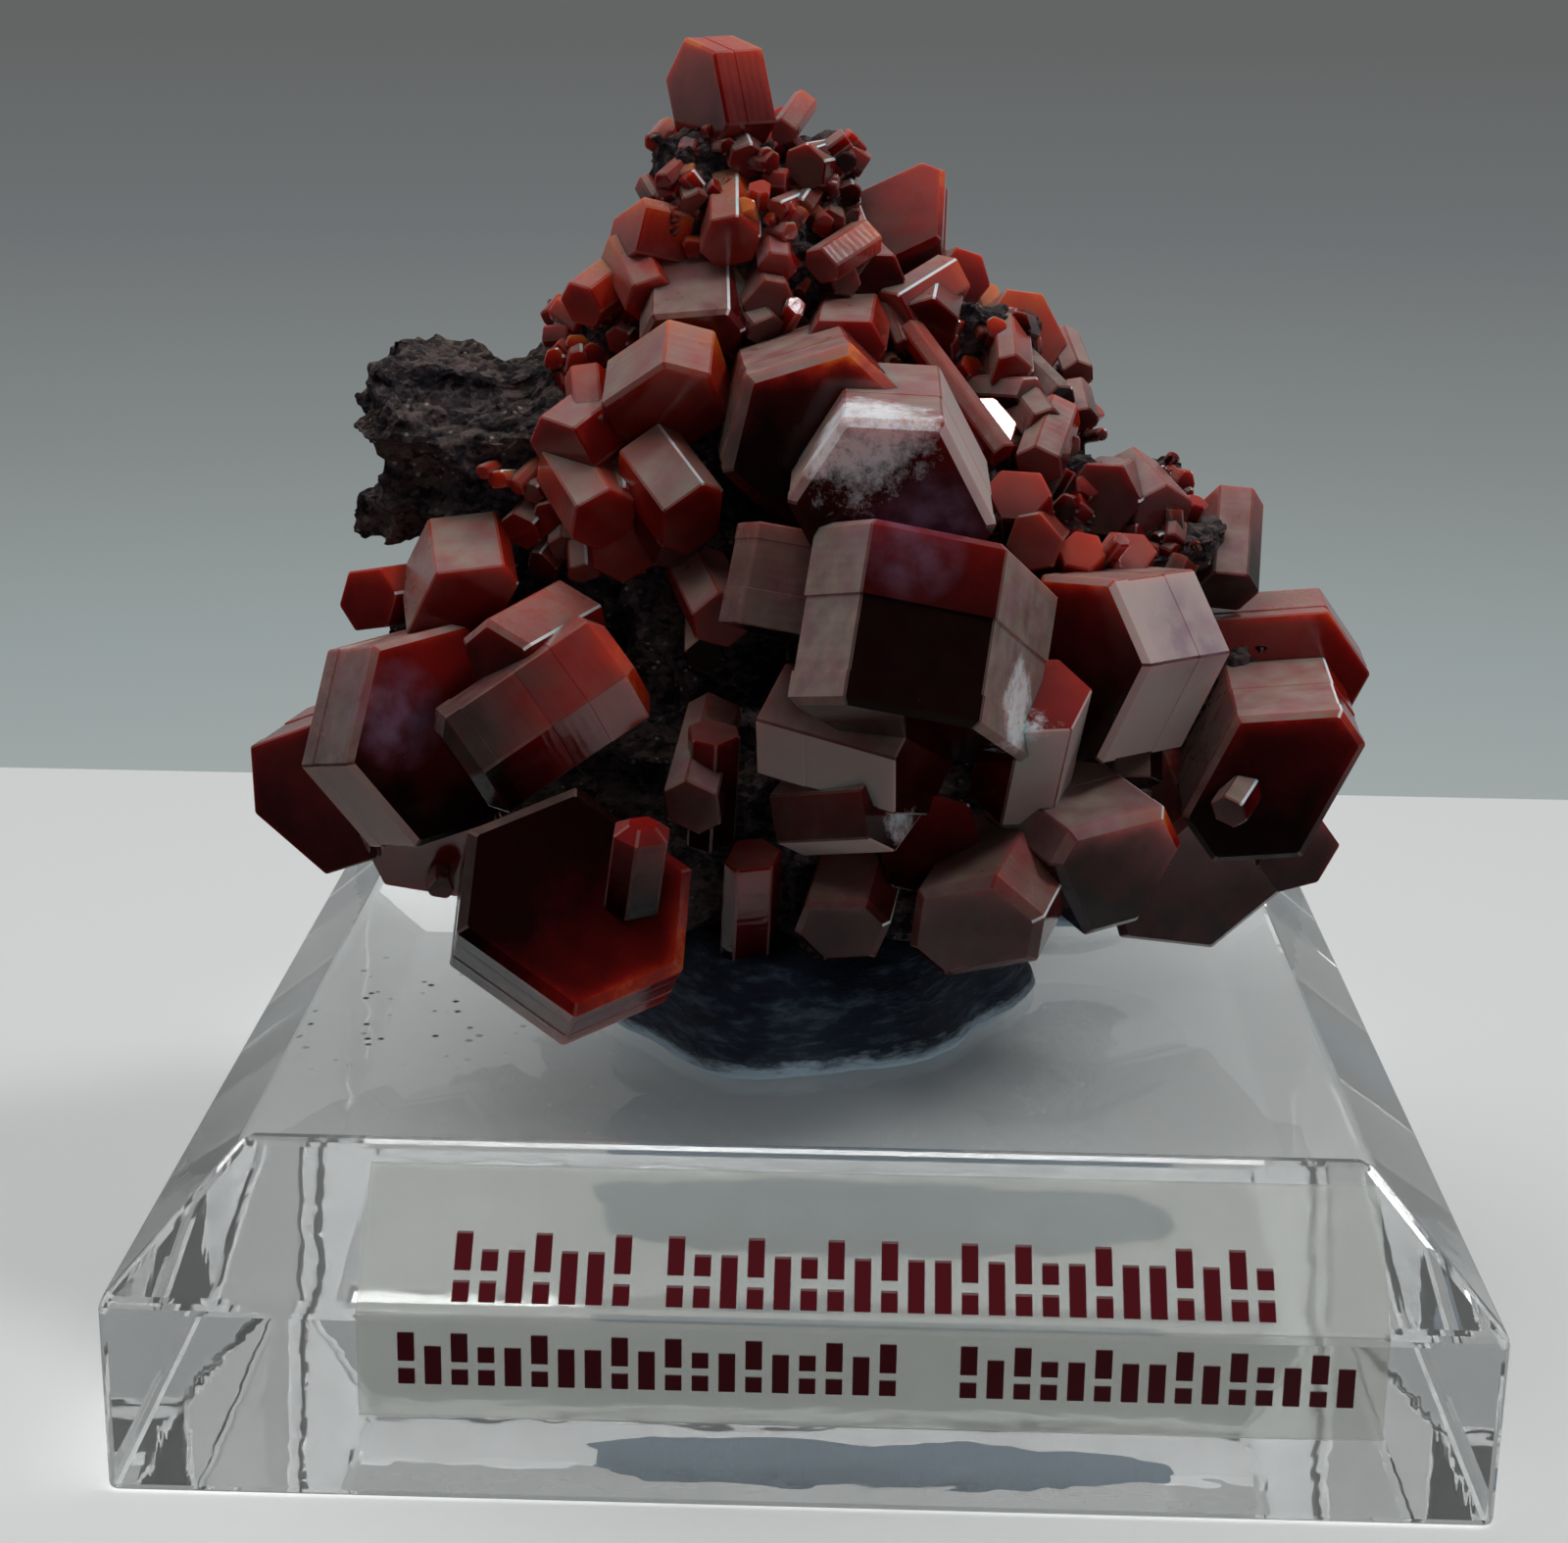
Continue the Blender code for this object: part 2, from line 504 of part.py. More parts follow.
def rooted(surface, small):
    """Length that brings a small crystal from its front end into the rock."""
    along = axes_of(small.azimuth, small.elevation, 0).col[2]
    hit, place, _, _ = surface.ray_cast(Vector(small.at) * MM, -along)
    if not hit:
        return small.length
    return min(MAX_SMALL_LENGTH, max(small.length, (place / MM - Vector(small.at)).length + ROOT_DEPTH))


def hung(small, rng):
    """A thin small crystal hangs forward and aside; the others stay as listed."""
    turn = rng.uniform(-SMALL_TURN, SMALL_TURN)
    droop = rng.uniform(*SMALL_DROOP)
    thick, steep = SMALL_HANGING
    if small.radius > thick or small.elevation > steep:
        return small
    return small._replace(azimuth=small.azimuth + turn, elevation=small.elevation - droop)


def small_crystals(surface):
    """The listed small crystals, each with its own slight irregularity."""
    rng = random.Random(SMALL_SEED)
    made = []
    for listed in SMALL_CRYSTALS:
        sides = tuple(listed.radius * rng.uniform(0.85, 1.15) for _ in range(6))
        small = hung(listed, rng)
        length = rooted(surface, small)
        along = axes_of(small.azimuth, small.elevation, 0).col[2]
        middle = Vector(small.at) - along * (length / 2)
        made.append(Crystal(tuple(middle), small.azimuth, small.elevation, rng.uniform(0, 60), sides,
                            length))
    return made


def build_matrix(rock):
    """Rock of fused lumps with the small crystals that grow on it."""
    matrix = lump_object(LUMPS[0])
    matrix.name = "matrix"
    for lump in LUMPS[1:]:
        combine(matrix, lump_object(lump), "UNION")
    combine(matrix, box_object((-40, -40, 0), (40, 40, MATRIX_FOOT_Z)), "DIFFERENCE")
    grown = small_crystals(matrix)
    for crystal in grown + crust_crystals(matrix):
        combine(matrix, crystal_object(crystal), "UNION")
    matrix.data.materials.clear()
    matrix.data.materials.append(rock)
    return matrix, grown


def build_group(name, crystals, earlier, ruby):
    """Crystals grown into each other, clear of the crystals of earlier groups."""
    group = crystal_object(crystals[0])
    group.name = name
    for crystal in crystals[1:]:
        combine(group, crystal_object(crystal), "UNION")
    for crystal in earlier:
        combine(group, crystal_object(crystal, GAP), "DIFFERENCE")
    keep_largest(group)
    group.data.materials.append(ruby)
    return group


def main():
    for thing in list(bpy.data.objects):
        bpy.data.objects.remove(thing, do_unlink=True)
    acrylic = material("acrylic", (0.85, 0.88, 0.88), 0.05, IOR=1.49)
    film_stuff = material("film", (0.8, 0.8, 0.76), 0.4)
    putty_stuff = material("putty", (0.12, 0.17, 0.26), 0.75)
    rock = material("rock", (0.09, 0.07, 0.07), 0.9)
    ruby = material("vanadinite", (0.33, 0.03, 0.02), 0.2, IOR=2.4)
    build_block(acrylic)
    build_film(film_stuff)
    putty = build_putty(putty_stuff)
    matrix, grown = build_matrix(rock)
    earlier = []
    for name, crystals in GROUPS.items():
        build_group(name, crystals, earlier, ruby)
        earlier.extend(crystals)
    for crystal in earlier:
        combine(matrix, crystal_object(crystal, GAP), "DIFFERENCE")
        combine(putty, crystal_object(crystal, GAP), "DIFFERENCE")
    for crystal in grown:
        if crystal.at[2] < PUTTY_TOP + crystal.length:
            combine(putty, crystal_object(crystal, GAP), "DIFFERENCE")
    keep_largest(matrix)
    keep_largest(putty)


main()
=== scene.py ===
"""Vanadinite crystals on a dark matrix, set in putty on a bevelled clear block.

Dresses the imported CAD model: finer crystals with growth bands, craggy rock, kneaded putty, polished
acrylic. World axes: +X to the right, -Y to the front, +Z up; the origin is the centre of the
block's underside. Sizes below are in millimetres and angles in degrees; MM turns them into metres.
"""
import math
import random
from collections import namedtuple

import bmesh
import bpy
from mathutils import Matrix, Vector, noise
from mathutils.bvhtree import BVHTree

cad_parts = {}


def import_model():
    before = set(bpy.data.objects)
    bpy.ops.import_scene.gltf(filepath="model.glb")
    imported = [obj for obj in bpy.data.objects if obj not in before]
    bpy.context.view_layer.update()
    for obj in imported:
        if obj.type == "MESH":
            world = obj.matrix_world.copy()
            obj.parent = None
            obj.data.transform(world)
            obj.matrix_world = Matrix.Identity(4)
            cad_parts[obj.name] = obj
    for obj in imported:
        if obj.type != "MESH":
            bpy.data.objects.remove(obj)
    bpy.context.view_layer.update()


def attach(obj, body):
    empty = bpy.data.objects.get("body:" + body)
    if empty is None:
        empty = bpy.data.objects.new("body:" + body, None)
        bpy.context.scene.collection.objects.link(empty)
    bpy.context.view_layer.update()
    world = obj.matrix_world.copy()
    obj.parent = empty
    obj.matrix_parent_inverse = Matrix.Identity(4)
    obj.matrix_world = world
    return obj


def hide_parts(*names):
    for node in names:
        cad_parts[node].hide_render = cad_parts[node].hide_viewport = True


MM = 0.001

# The clear block and its label film, as in the CAD model.
BLOCK_WIDTH = 50.0
BLOCK_SIDE_HEIGHT = 7.5
BLOCK_HEIGHT = 12.1
BLOCK_TOP_INSET = 4.5
BLOCK_EDGE_ROUND = 0.35
FILM_WIDTH = 36.4
FILM_CENTRE_X = 2.5
FILM_THICKNESS = 0.12
FILM_GAP = 0.03              # from the block to the film
FILM_DROP = 4.0
FILM_RISE_SHARE = 0.86

# The putty: a round pad at the rock's foot, a thin square one spread out behind, and the strip of
# that one that has bonded to the block, a hair below its top face. Each ring is (height, share of
# the pad's radii).
PUTTY_TOP = 15.8
PUTTY_POINTS = 160
BOND = 0.02
PADS = [
    ((-0.4, -3.6), (9.0, 10.0), 1.0,
     [(12.08, 0.98), (12.12, 1.0), (12.35, 1.02), (12.7, 1.01), (13.1, 0.98), (13.6, 0.95), (14.2, 0.92),
      (14.8, 0.86), (15.3, 0.80), (PUTTY_TOP, 0.72), (PUTTY_TOP + 0.1, 0.6)]),
    ((3.5, 10.2), (13.4, 6.8), 0.6,
     [(12.14, 0.98), (12.3, 1.0), (12.8, 1.01), (13.2, 0.98), (13.5, 0.93), (13.65, 0.86), (13.7, 0.6)]),
    ((2.9, 13.5), (13.4, 3.2), 0.6, [(BLOCK_HEIGHT - BOND, 0.97), (12.3, 1.0), (12.6, 0.9)]),
]

# The rock.
MATRIX_FOOT_Z = 15.6
SQUARENESS = 3.0
ROUGH_SHARE = 0.30
ROUGH_SIZE = 3.6
BED_THICKNESS = 1.9
BED_RELIEF = 0.035
ROCK_VOXEL = 0.28
ROOT_DEPTH = 1.2
MAX_SMALL_LENGTH = 7.0

PYRAMID_RUN = 1.0 / math.tan(math.radians(39.4))
LEAST_BEVEL = 0.06           # every crystal's end is at least this much rounded off
CORNER_CUT = 0.07            # and its upright edges this much
HAZE_AND_LIGHT_FROM = Vector((-0.35, -0.15, 0.92))      # tan bloom, with painted light, gathers on faces that look this way
GLINT_FROM = Vector((0.72, -0.20, 0.66))      # and edges that look this way, towards the lamp, may get a painted white glint
GLINT_SHARE = 0.35
GLINT_FACING = 0.75
GLINT = 3.0                  # haze past 2 is a painted white glint
EDGE_HAZE = 0.4
HAZE_FACING = 0.28
HAZE_RISE = 2.3
BANDED_RADIUS = 1.7          # only thicker crystals show growth bands
LOOK_SEED = 5
BAND_SHADE = 0.20            # how much darker or paler than the rest a growth band may be
PALER = 0.8                  # how much whiter than tan the pale faces of a hazy crystal are, a painted reflection
CAP_HAZE = 0.02              # how hazy an end is, as a share of its crystal's haze
PALE_CAP_HAZE = 0.25         # and a pale end, a painted reflection
LEAST_RISE = 0.20            # how much paler a crystal is on its lit side
RIM_RISE = 0.20              # and how much more so where its rim glows
RIM = 1.1                    # width of the band of painted glow along an end

Lump = namedtuple("Lump", "centre radii cuts")
LUMPS = [
    Lump((0.5, 2.0, 27.0), (12.5, 7.5, 10.5), 3),
    Lump((1.0, -1.5, 20.0), (13.0, 8.5, 5.0), 3),
    Lump((-3.2, 1.6, 39.3), (4.4, 4.2, 8.2), 3),
    Lump((-13.1, 1.0, 33.7), (6.4, 4.6, 4.5), 3),
    Lump((-8.4, 1.2, 37.0), (3.2, 3.4, 3.6), 2),
    Lump((10.4, 1.0, 28.8), (5.6, 5.0, 4.8), 3),
    Lump((4.2, 3.6, 35.4), (4.8, 3.6, 4.6), 2),
    Lump((13.2, 0.6, 31.2), (1.5, 1.7, 1.9), 2),
    Lump((14.6, 1.4, 23.4), (5.4, 4.4, 4.4), 2),
    Lump((-13.4, 0.0, 23.4), (5.4, 4.4, 4.4), 2),
]

# Each list below is one solid of crystals grown into each other. The names say where it stands.
# A crystal is a six-sided prism. at is its middle; azimuth and elevation say where its front end
# looks (0, 0 is straight to the front, azimuth 90 is to the right); spin turns it about its own
# axis; sides are the six distances from the axis to the prism faces; bevel is the height of the
# pyramid faces at both ends. tone runs from near-black maroon (0) over red to orange (1); rim is
# how far the ends' edges carry a painted glow on the side named by lit, which is also painted paler,
# and haze how much of a tan bloom lies on the faces that look up, with painted light on those that
# look up and to the left; pale names the side faces painted pale as a painted reflection, 6 being the
# end; below band, a height on its own axis, a crystal is darker.
Crystal = namedtuple("Crystal", "at azimuth elevation spin sides length bevel tone rim haze pale lit band",
                     defaults=(0.0, 0.4, 0.3, 0.3, (), (0.15, 0.3, 0.94), 0.0))


def even(radius):
    """Six equal side distances."""
    return (radius,) * 6


GROUPS = {
    "crystals_centre": [
        Crystal((-0.3, -7.5, 36.4), 5, 0, 47, (3.4, 3.2, 3.3, 3.3, 3.3, 3.2), 8.0, 0.3,
                tone=0.1, rim=1, haze=0.75),
        Crystal((0.9, -3.5, 39.3), -2, -4, 30, (1.5, 1.2, 1.5, 1.4, 1.3, 1.4), 5.5,
                tone=0.42, rim=0.3, haze=0.7),
        Crystal((2.7, -11.0, 35.0), 0, -5, 28, (3.1, 3.4, 3.4, 3.2, 3.3, 3.4), 9.0, 0.25,
                tone=0.22, rim=0.3, haze=1, pale=(0,)),
        Crystal((4.0, -14.0, 29.4), -19, 115, 59, (5.4, 4.8, 3.4, 5.4, 4.7, 3.6), 6.7, 0.25,
                tone=0.04, rim=1, haze=0.05, pale=(3, 5), lit=(0.1, 0.2, 0.6), band=0.6),
        Crystal((0.6, -12.2, 30.9), -30, 110, 51, (3.0, 3.0, 3.0, 3.8, 2.8, 3.8), 3.8,
                tone=0.22, rim=0.4, haze=1),
        Crystal((1.6, -11.2, 25.0), 62, -6, 14, (2.5, 2.2, 2.4, 2.5, 2.2, 2.4), 6.0,
                tone=0.2, rim=0.2, haze=1, pale=(3, 4, 5)),
        Crystal((1.3, -11.6, 22.6), 49, 15, 59, (1.9, 1.5, 1.8, 1.9, 1.5, 1.9), 4.8,
                tone=0.2, rim=0.2, haze=1, pale=(3, 4, 5)),
        Crystal((8.2, -11.2, 25.0), 10, 60, 30, (1.9, 1.9, 1.7, 1.9, 1.9, 1.7), 5.2,
                tone=0.24, rim=0.2, haze=0.8, pale=(4, 5)),
    ],
    "crystals_right": [
        Crystal((11.6, -7.8, 27.4), -43, 4, 36, (3.4, 3.5, 3.1, 3.4, 3.6, 3.0), 5.4, 0.2,
                tone=0.1, rim=0.8, haze=1, pale=(0, 5)),
    ],
    "crystals_far_right": [
        Crystal((18.1, -5.5, 23.1), -3, -3, 36, (3.8, 2.9, 2.6, 3.7, 3.1, 2.4), 7.6, 0.2,
                tone=0.15, rim=0.7, haze=0.7),
        Crystal((18.4, -0.6, 24.6), -3, -3, 36, (4.2, 3.6, 3.4, 4.0, 3.6, 3.4), 3.6,
                tone=0.28, rim=0.5, haze=0.6),
        Crystal((17.0, -8.5, 22.8), -30, -22, 10, even(0.7), 4.0, tone=0.3, rim=0.3, haze=1),
        Crystal((15.2, -3.2, 18.6), 8, -20, 20, (3.6, 3.4, 3.0, 3.6, 3.3, 3.2), 6.0, 0.3,
                tone=0.22, rim=0.3, haze=0.2),
        Crystal((19.0, -4.0, 19.4), 20, -15, 40, even(1.6), 4.0, tone=0.2, rim=0.3, haze=0.2),
    ],
    "crystals_foot": [
        Crystal((10.4, -10.0, 20.7), 33, -11, 34, (2.9, 2.2, 3.2, 2.3, 2.8, 2.7), 5.0, 0.3,
                tone=0.2, rim=0.8, haze=0.8),
        Crystal((7.1, -11.6, 19.2), -20, -14, 50, (2.5, 2.0, 2.4, 2.7, 1.9, 2.6), 6.0, 0.3,
                tone=0.32, rim=0.5, haze=0.7, pale=(6,)),
        Crystal((1.6, -10.5, 18.6), -10, -20, 40, (1.8, 1.4, 1.7, 1.7, 1.5, 1.6), 5.0, 0.2,
                tone=0.25, rim=0.3, haze=0.3),
        Crystal((4.0, -9.0, 20.5), 10, 10, 15, even(1.9), 6.0, tone=0.18, rim=0.3, haze=0.1),
    ],
    "crystals_low_front": [
        Crystal((-9.1, -14.8, 18.8), 13, 35, 50, (3.6, 4.0, 4.2, 3.6, 4.0, 4.2), 5.2, 0.3,
                tone=0.10, rim=1, haze=0.25, lit=(0.5, 0, -0.6)),
        Crystal((-6.4, -16.6, 21.4), 30, 74, 30, (1.0, 0.9, 1.0, 1.0, 0.9, 1.0), 4.0, 0.4,
                tone=0.16, rim=0.1, haze=0.6),
    ],
    "crystals_ember": [
        Crystal((-10.4, -11.6, 25.9), -69, -31, 40, (2.3, 2.2, 2.4, 2.3, 2.2, 2.4), 7.4, 0.5,
                tone=0.12, rim=1, haze=0.2, lit=(0.8, -0.2, 0.5)),
        Crystal((-10.9, -9.0, 28.0), -30, -8, 8, (1.7, 1.5, 1.6, 1.6, 1.7, 1.5), 5.0, 0.2,
                tone=0.35, rim=0.3, haze=0.6),
    ],
    "crystals_left": [
        Crystal((-15.8, -8.0, 24.0), 44, 14, 34, (4.3, 3.9, 3.8, 4.0, 4.1, 3.5), 3.6, 0.2,
                tone=0.16, rim=0.5, haze=0.75, pale=(3,)),
        Crystal((-19.4, -4.5, 21.0), -25, -10, 54, (3.3, 2.9, 3.2, 3.0, 3.2, 2.9), 4.0,
                tone=0.3, rim=0.3, haze=0.15),
        Crystal((-15.6, -4.6, 19.6), 0, -15, 20, (2.6, 2.2, 2.4, 2.5, 2.3, 2.4), 5.0,
                tone=0.45, rim=0.3, haze=0.2),
    ],
    "crystals_left_back": [
        Crystal((-17.2, -3.0, 28.4), -30, 5, 43, (1.4, 1.2, 1.3, 1.4, 1.2, 1.3), 4.0,
                tone=0.45, rim=0.3, haze=0.2),
        Crystal((-14.4, -5.4, 29.6), 12, -16, 36, (2.4, 1.7, 1.6, 2.4, 1.7, 1.6), 4.6,
                tone=0.45, rim=0.4, haze=0.9),
    ],
    "crystals_upper_left": [
        Crystal((-6.0, -5.6, 37.4), -2, -36, 12, (2.2, 2.5, 1.9, 2.4, 2.3, 2.0), 2.6, 0.15,
                tone=0.52, rim=0.7, haze=1),
        Crystal((-5.8, -7.4, 33.8), 31, -24, 8, (1.2, 1.6, 1.3, 1.3, 1.5, 1.4), 4.2,
                tone=0.5, rim=0.6, haze=1),
        Crystal((-9.0, -4.6, 35.6), -38, -22, 20, even(1.5), 4.0, tone=0.5, rim=0.3, haze=0.8),
        Crystal((-9.2, -6.0, 33.4), 28, -24, 0, even(1.3), 4.0, tone=0.58, rim=0.3, haze=0.7),
    ],
    "crystals_top": [
        Crystal((-5.3, -2.6, 40.7), 4, -26, 36, (1.9, 1.1, 1.8, 1.8, 1.1, 1.8), 6.0, 0.15,
                tone=0.36, rim=0.5, haze=0.8),
        Crystal((-8.9, -2.0, 40.8), -32, -20, 20, even(0.9), 3.0, tone=0.7, rim=0.3, haze=0.5),
        Crystal((-7.4, -2.4, 41.4), 24, -28, 50, even(1.0), 3.4, tone=0.62, rim=0.3, haze=0.5),
        Crystal((-7.0, -1.8, 42.8), -60, 13, 55, (1.8, 1.0, 1.4, 1.7, 1.1, 1.3), 2.2,
                tone=0.55, rim=0.4, haze=0.9),
    ],
    "crystal_summit": [
        Crystal((-4.3, 0.0, 48.3), -53, -2, 18, (1.8, 2.0, 2.1, 2.0, 1.8, 2.3), 2.4, 0.1,
                tone=0.45, rim=0.5, haze=0.12),
    ],
    "crystal_upper_right": [
        Crystal((3.1, 5.0, 42.8), -12, 49, 7, (1.8, 2.9, 2.1, 2.0, 2.7, 2.3), 1.8, 0.15,
                tone=0.26, rim=0.5, haze=0.7, pale=(6,), lit=(0.8, 0.3, 0.5)),
    ],
}

# Single small crystals, all fused to the matrix: at is the middle of the front end. Each reaches
# back into the rock, or as far as its length where the rock isn't behind it.
Small = namedtuple("Small", "at azimuth elevation radius length")
SMALL_CRYSTALS = [
    Small((-1.9, 2.2, 47.6), 10, 62, 0.35, 3),
    Small((-1.8, -0.6, 46.9), 5, 10, 0.5, 3),
    Small((-0.9, -1.6, 45.6), -12, 12, 0.85, 3),
    Small((-6.9, -0.4, 46.4), -30, 10, 0.4, 2),
    Small((-5.6, -1.6, 46.0), -10, 0, 0.45, 2.4),
    Small((-5.1, -2.6, 44.2), -8, 5, 0.6, 2.4),
    Small((-2.6, -3.0, 45.0), 10, 50, 0.4, 2.6),
    Small((-3.3, -3.6, 44.3), -15, 45, 0.5, 2.8),
    Small((-3.1, -1.8, 45.8), 5, -5, 0.75, 3),
    Small((-2.0, -3.0, 44.1), 0, 10, 0.4, 2.4),
    Small((-1.4, -3.2, 43.3), 20, 20, 0.4, 2.4),
    Small((-1.0, -2.2, 44.1), -20, 0, 0.4, 2.4),
    Small((0.2, -1.4, 43.4), 10, 15, 0.6, 3),
    Small((-3.8, -3.8, 42.9), 12, 4, 1.1, 3.4),
    Small((-1.8, -4.0, 42.0), 0, 0, 0.7, 3),
    Small((-0.2, -3.4, 42.0), -10, 10, 0.75, 3),
    Small((0.8, -2.2, 41.3), 12, 20, 0.65, 3),
    Small((2.2, -1.0, 41.2), 10, 25, 1, 3.4),
    Small((4.1, -1.4, 39.6), 14, 8, 1.1, 4),
    Small((2.6, -1.0, 39.8), -25, 5, 0.95, 4),
    Small((3.2, -1.6, 38.7), 10, -10, 0.45, 3),
    Small((-2.2, -4.6, 40.6), 8, 10, 0.9, 3.6),
    Small((-2.2, -4.8, 39.6), 8, 5, 0.75, 3.6),
    Small((-1.1, -4.8, 40.6), 25, 40, 0.4, 3),
    Small((8.3, 3.0, 38.7), 20, 25, 1.6, 5),
    Small((6.4, 2.8, 37.9), -12, 18, 0.95, 3.6),
    Small((7.5, -1.4, 37.5), 5, 5, 0.85, 3),
    Small((8.3, -2.2, 36.9), 15, 20, 0.8, 3),
    Small((10.5, 2.0, 37.1), 25, 5, 0.65, 3.6),
    Small((9.5, -1.6, 36.5), 20, 15, 0.7, 3),
    Small((6.4, -4.2, 36.0), 26, 39, 1.2, 4),
    Small((7.1, -5.2, 35.0), 20, 0, 0.55, 3),
    Small((8.8, -3.4, 35.7), 10, 18, 0.8, 3),
    Small((8.5, -4.8, 34.4), 5, 5, 0.95, 3.4),
    Small((10.5, -1.8, 35.9), 25, 20, 0.55, 3),
    Small((9.9, -3.2, 35.0), 30, 25, 0.45, 3),
    Small((11.4, 0.0, 35.0), 30, 30, 0.25, 2),
    Small((11.1, -4.2, 33.0), -12, 6, 1.4, 4),
    Small((7.6, -6.6, 33.7), -10, 42, 1.1, 4),
    Small((8.2, -7.6, 32.0), -10, 30, 1, 4),
    Small((10.3, -6.4, 31.5), 0, 45, 0.9, 4),
    Small((12.2, -5.6, 31.3), 10, 50, 1, 4),
    Small((11.8, -6.6, 32.0), 30, 45, 0.35, 3),
    Small((13.7, -2.8, 32.2), 22, 20, 1.1, 4),
    Small((15.2, -1.6, 30.5), 20, 30, 1.1, 5),
    Small((16.7, -2.4, 29.1), -30, -14, 1.1, 5),
    Small((18.1, -2.0, 27.1), 0, 60, 0.7, 4),
    Small((-8.2, -2.6, 38.8), -10, 10, 0.6, 3),
    Small((-9.8, -2.4, 37.8), -20, 10, 0.6, 3),
    Small((-9.0, -5.8, 35.7), -5, 0, 0.75, 3),
    Small((-13.5, -4.4, 33.8), -20, 15, 0.3, 2),
    Small((-12.9, -4.4, 33.5), 0, 30, 0.4, 2),
    Small((-12.2, -4.2, 33.1), -15, 0, 0.4, 2),
    Small((-11.6, -4.2, 32.9), 10, 10, 0.45, 2),
    Small((-12.1, -4.2, 31.4), -15, 15, 0.8, 3),
    Small((-10.9, -4.4, 32.0), 10, 20, 0.7, 3),
    Small((-10.2, -4.4, 30.7), 0, -10, 0.75, 3),
    Small((-11.3, -3.8, 29.9), -20, 0, 0.65, 3),
    Small((-9.4, -5.2, 29.9), 5, -15, 0.65, 3),
    Small((-9.3, -4.8, 31.6), 10, 10, 0.6, 3),
    Small((-7.5, -6.6, 31.3), 0, -4, 1.3, 4),
    Small((-5.3, -7.6, 31.6), 14, -4, 1.1, 4),
    Small((-7.8, -7.0, 33.1), -10, 20, 0.7, 3),
    Small((-8.6, -6.8, 33.5), 20, 40, 0.3, 3),
    Small((-3.6, -10.2, 29.3), 0, 12, 1.1, 5),
    Small((-4.4, -9.4, 27.7), 20, 0, 0.7, 4),
    Small((-3.9, -11.4, 25.2), 10, 72, 0.95, 5),
    Small((-4.6, -12.8, 22.6), 0, 14, 1.2, 5),
    Small((-2.3, -11.0, 20.2), 8, 72, 1.1, 5),
    Small((-15.0, -8.0, 17.5), 10, 30, 0.5, 3),
    Small((12.6, -8.0, 22.5), -10, -20, 1.1, 4),
    Small((5.8, 4.6, 40.8), 30, 15, 1.3, 6),
]

SMALL_SEED = 3
SMALL_TURN = 30.0            # how far a small crystal may turn aside
SMALL_DROOP = (12.0, 40.0)    # and hang forward
SMALL_HANGING = (1.25, 38.0)  # if it is thinner and lies flatter than this
PALE_SHARE = 0.5             # of the small crystals have a pale end, a painted reflection


# The same loose crust over the back as the CAD model's.
CRUST_SEED = 7
CRUST_COUNT = 30
CRUST_RADII = (0.7, 1.9)
CRUST_HEIGHTS = (19.0, 43.5)
CRUST_REACH = 10.0
CRUST_FACING = 0.35
CRUST_TRIES = 4000
CAST_FROM = 60.0

# Centres and radii of the frosted patches, painted white as a painted reflection of the light.
FROST_AND_REFLECTION = [
    ((1.2, -15.5, 38.3), 4.3),
    ((7.6, -15.0, 27.4), 2.5),
    ((3.0, -13.0, 22.2), 1.2),
]

# And of the patches with a painted violet sheen.
SHEEN = [
    ((-16.5, -9.9, 25.2), 2.4),
    ((14.6, -9.6, 29.2), 2.6),
    ((3.2, -16.4, 33.4), 2.4),
    ((4.4, -15.5, 34.6), 2.0),
]

# Tiny crystals between the small ones, over the front of the rock.
DRUSE_SEED = 21
DRUSE_TRIES = 900
DRUSE_RADII = (0.22, 0.55)

# Plain upright strokes on the label film, in two rows of two words: first and last stroke, counted
# from the middle of the block, and low and high end.
MARKS = [(-13, -7, 7.9, 9.7), (-5, 17, 7.9, 9.7), (-15, 3, 4.8, 6.8), (6, 20, 4.8, 6.8)]
STROKE_PITCH = 0.95
STROKE_SHARE = 0.62          # of the pitch that is inked
STROKE_SHORT = 0.74          # height of a short stroke, as a share of a tall one
STROKE_BREAK = 0.16          # half the gap in a broken stroke

# The camera, from a fit to the block's corners in the photograph.
CAMERA_AT = (1.33, -112.06, 53.87)
CAMERA_PITCH = 0.2911
CAMERA_YAW = -0.0247
CAMERA_ROLL = 0.01363
CAMERA_LENS = 63.0
SENSOR_WIDTH = 36.0


# Shades of the wall from the table up, darkening upwards as a painted shade that only the camera
# sees, and of the room from below the horizon to the zenith.
WALL_SHADES = [(0.0, (0.36, 0.40, 0.40)), (0.24, (0.30, 0.34, 0.34)), (0.5, (0.22, 0.24, 0.24)),
               (0.76, (0.155, 0.165, 0.17)), (1.0, (0.125, 0.13, 0.13))]
ROOM_SHADES = [(0.0, (0.30, 0.31, 0.31)), (0.33, (0.24, 0.25, 0.25)), (0.6, (0.30, 0.30, 0.30)),
               (0.85, (0.15, 0.15, 0.15)), (1.0, (0.12, 0.12, 0.12))]
FRONT_SHARE = 0.03           # how bright the room is behind the camera, against the rest


# ---------------------------------------------------------------- crystals

def axes_of(azimuth, elevation, spin):
    """Matrix whose columns are a crystal's two cross axes and its own axis."""
    turn = math.radians(azimuth)
    tilt = math.radians(elevation)
    along = Vector((math.sin(turn) * math.cos(tilt), -math.cos(turn) * math.cos(tilt), math.sin(tilt)))
    right = Vector((math.cos(turn), math.sin(turn), 0.0))
    up = along.cross(right)
    swing = math.radians(spin)
    first = math.cos(swing) * right + math.sin(swing) * up
    return Matrix((first, along.cross(first), along)).transposed()


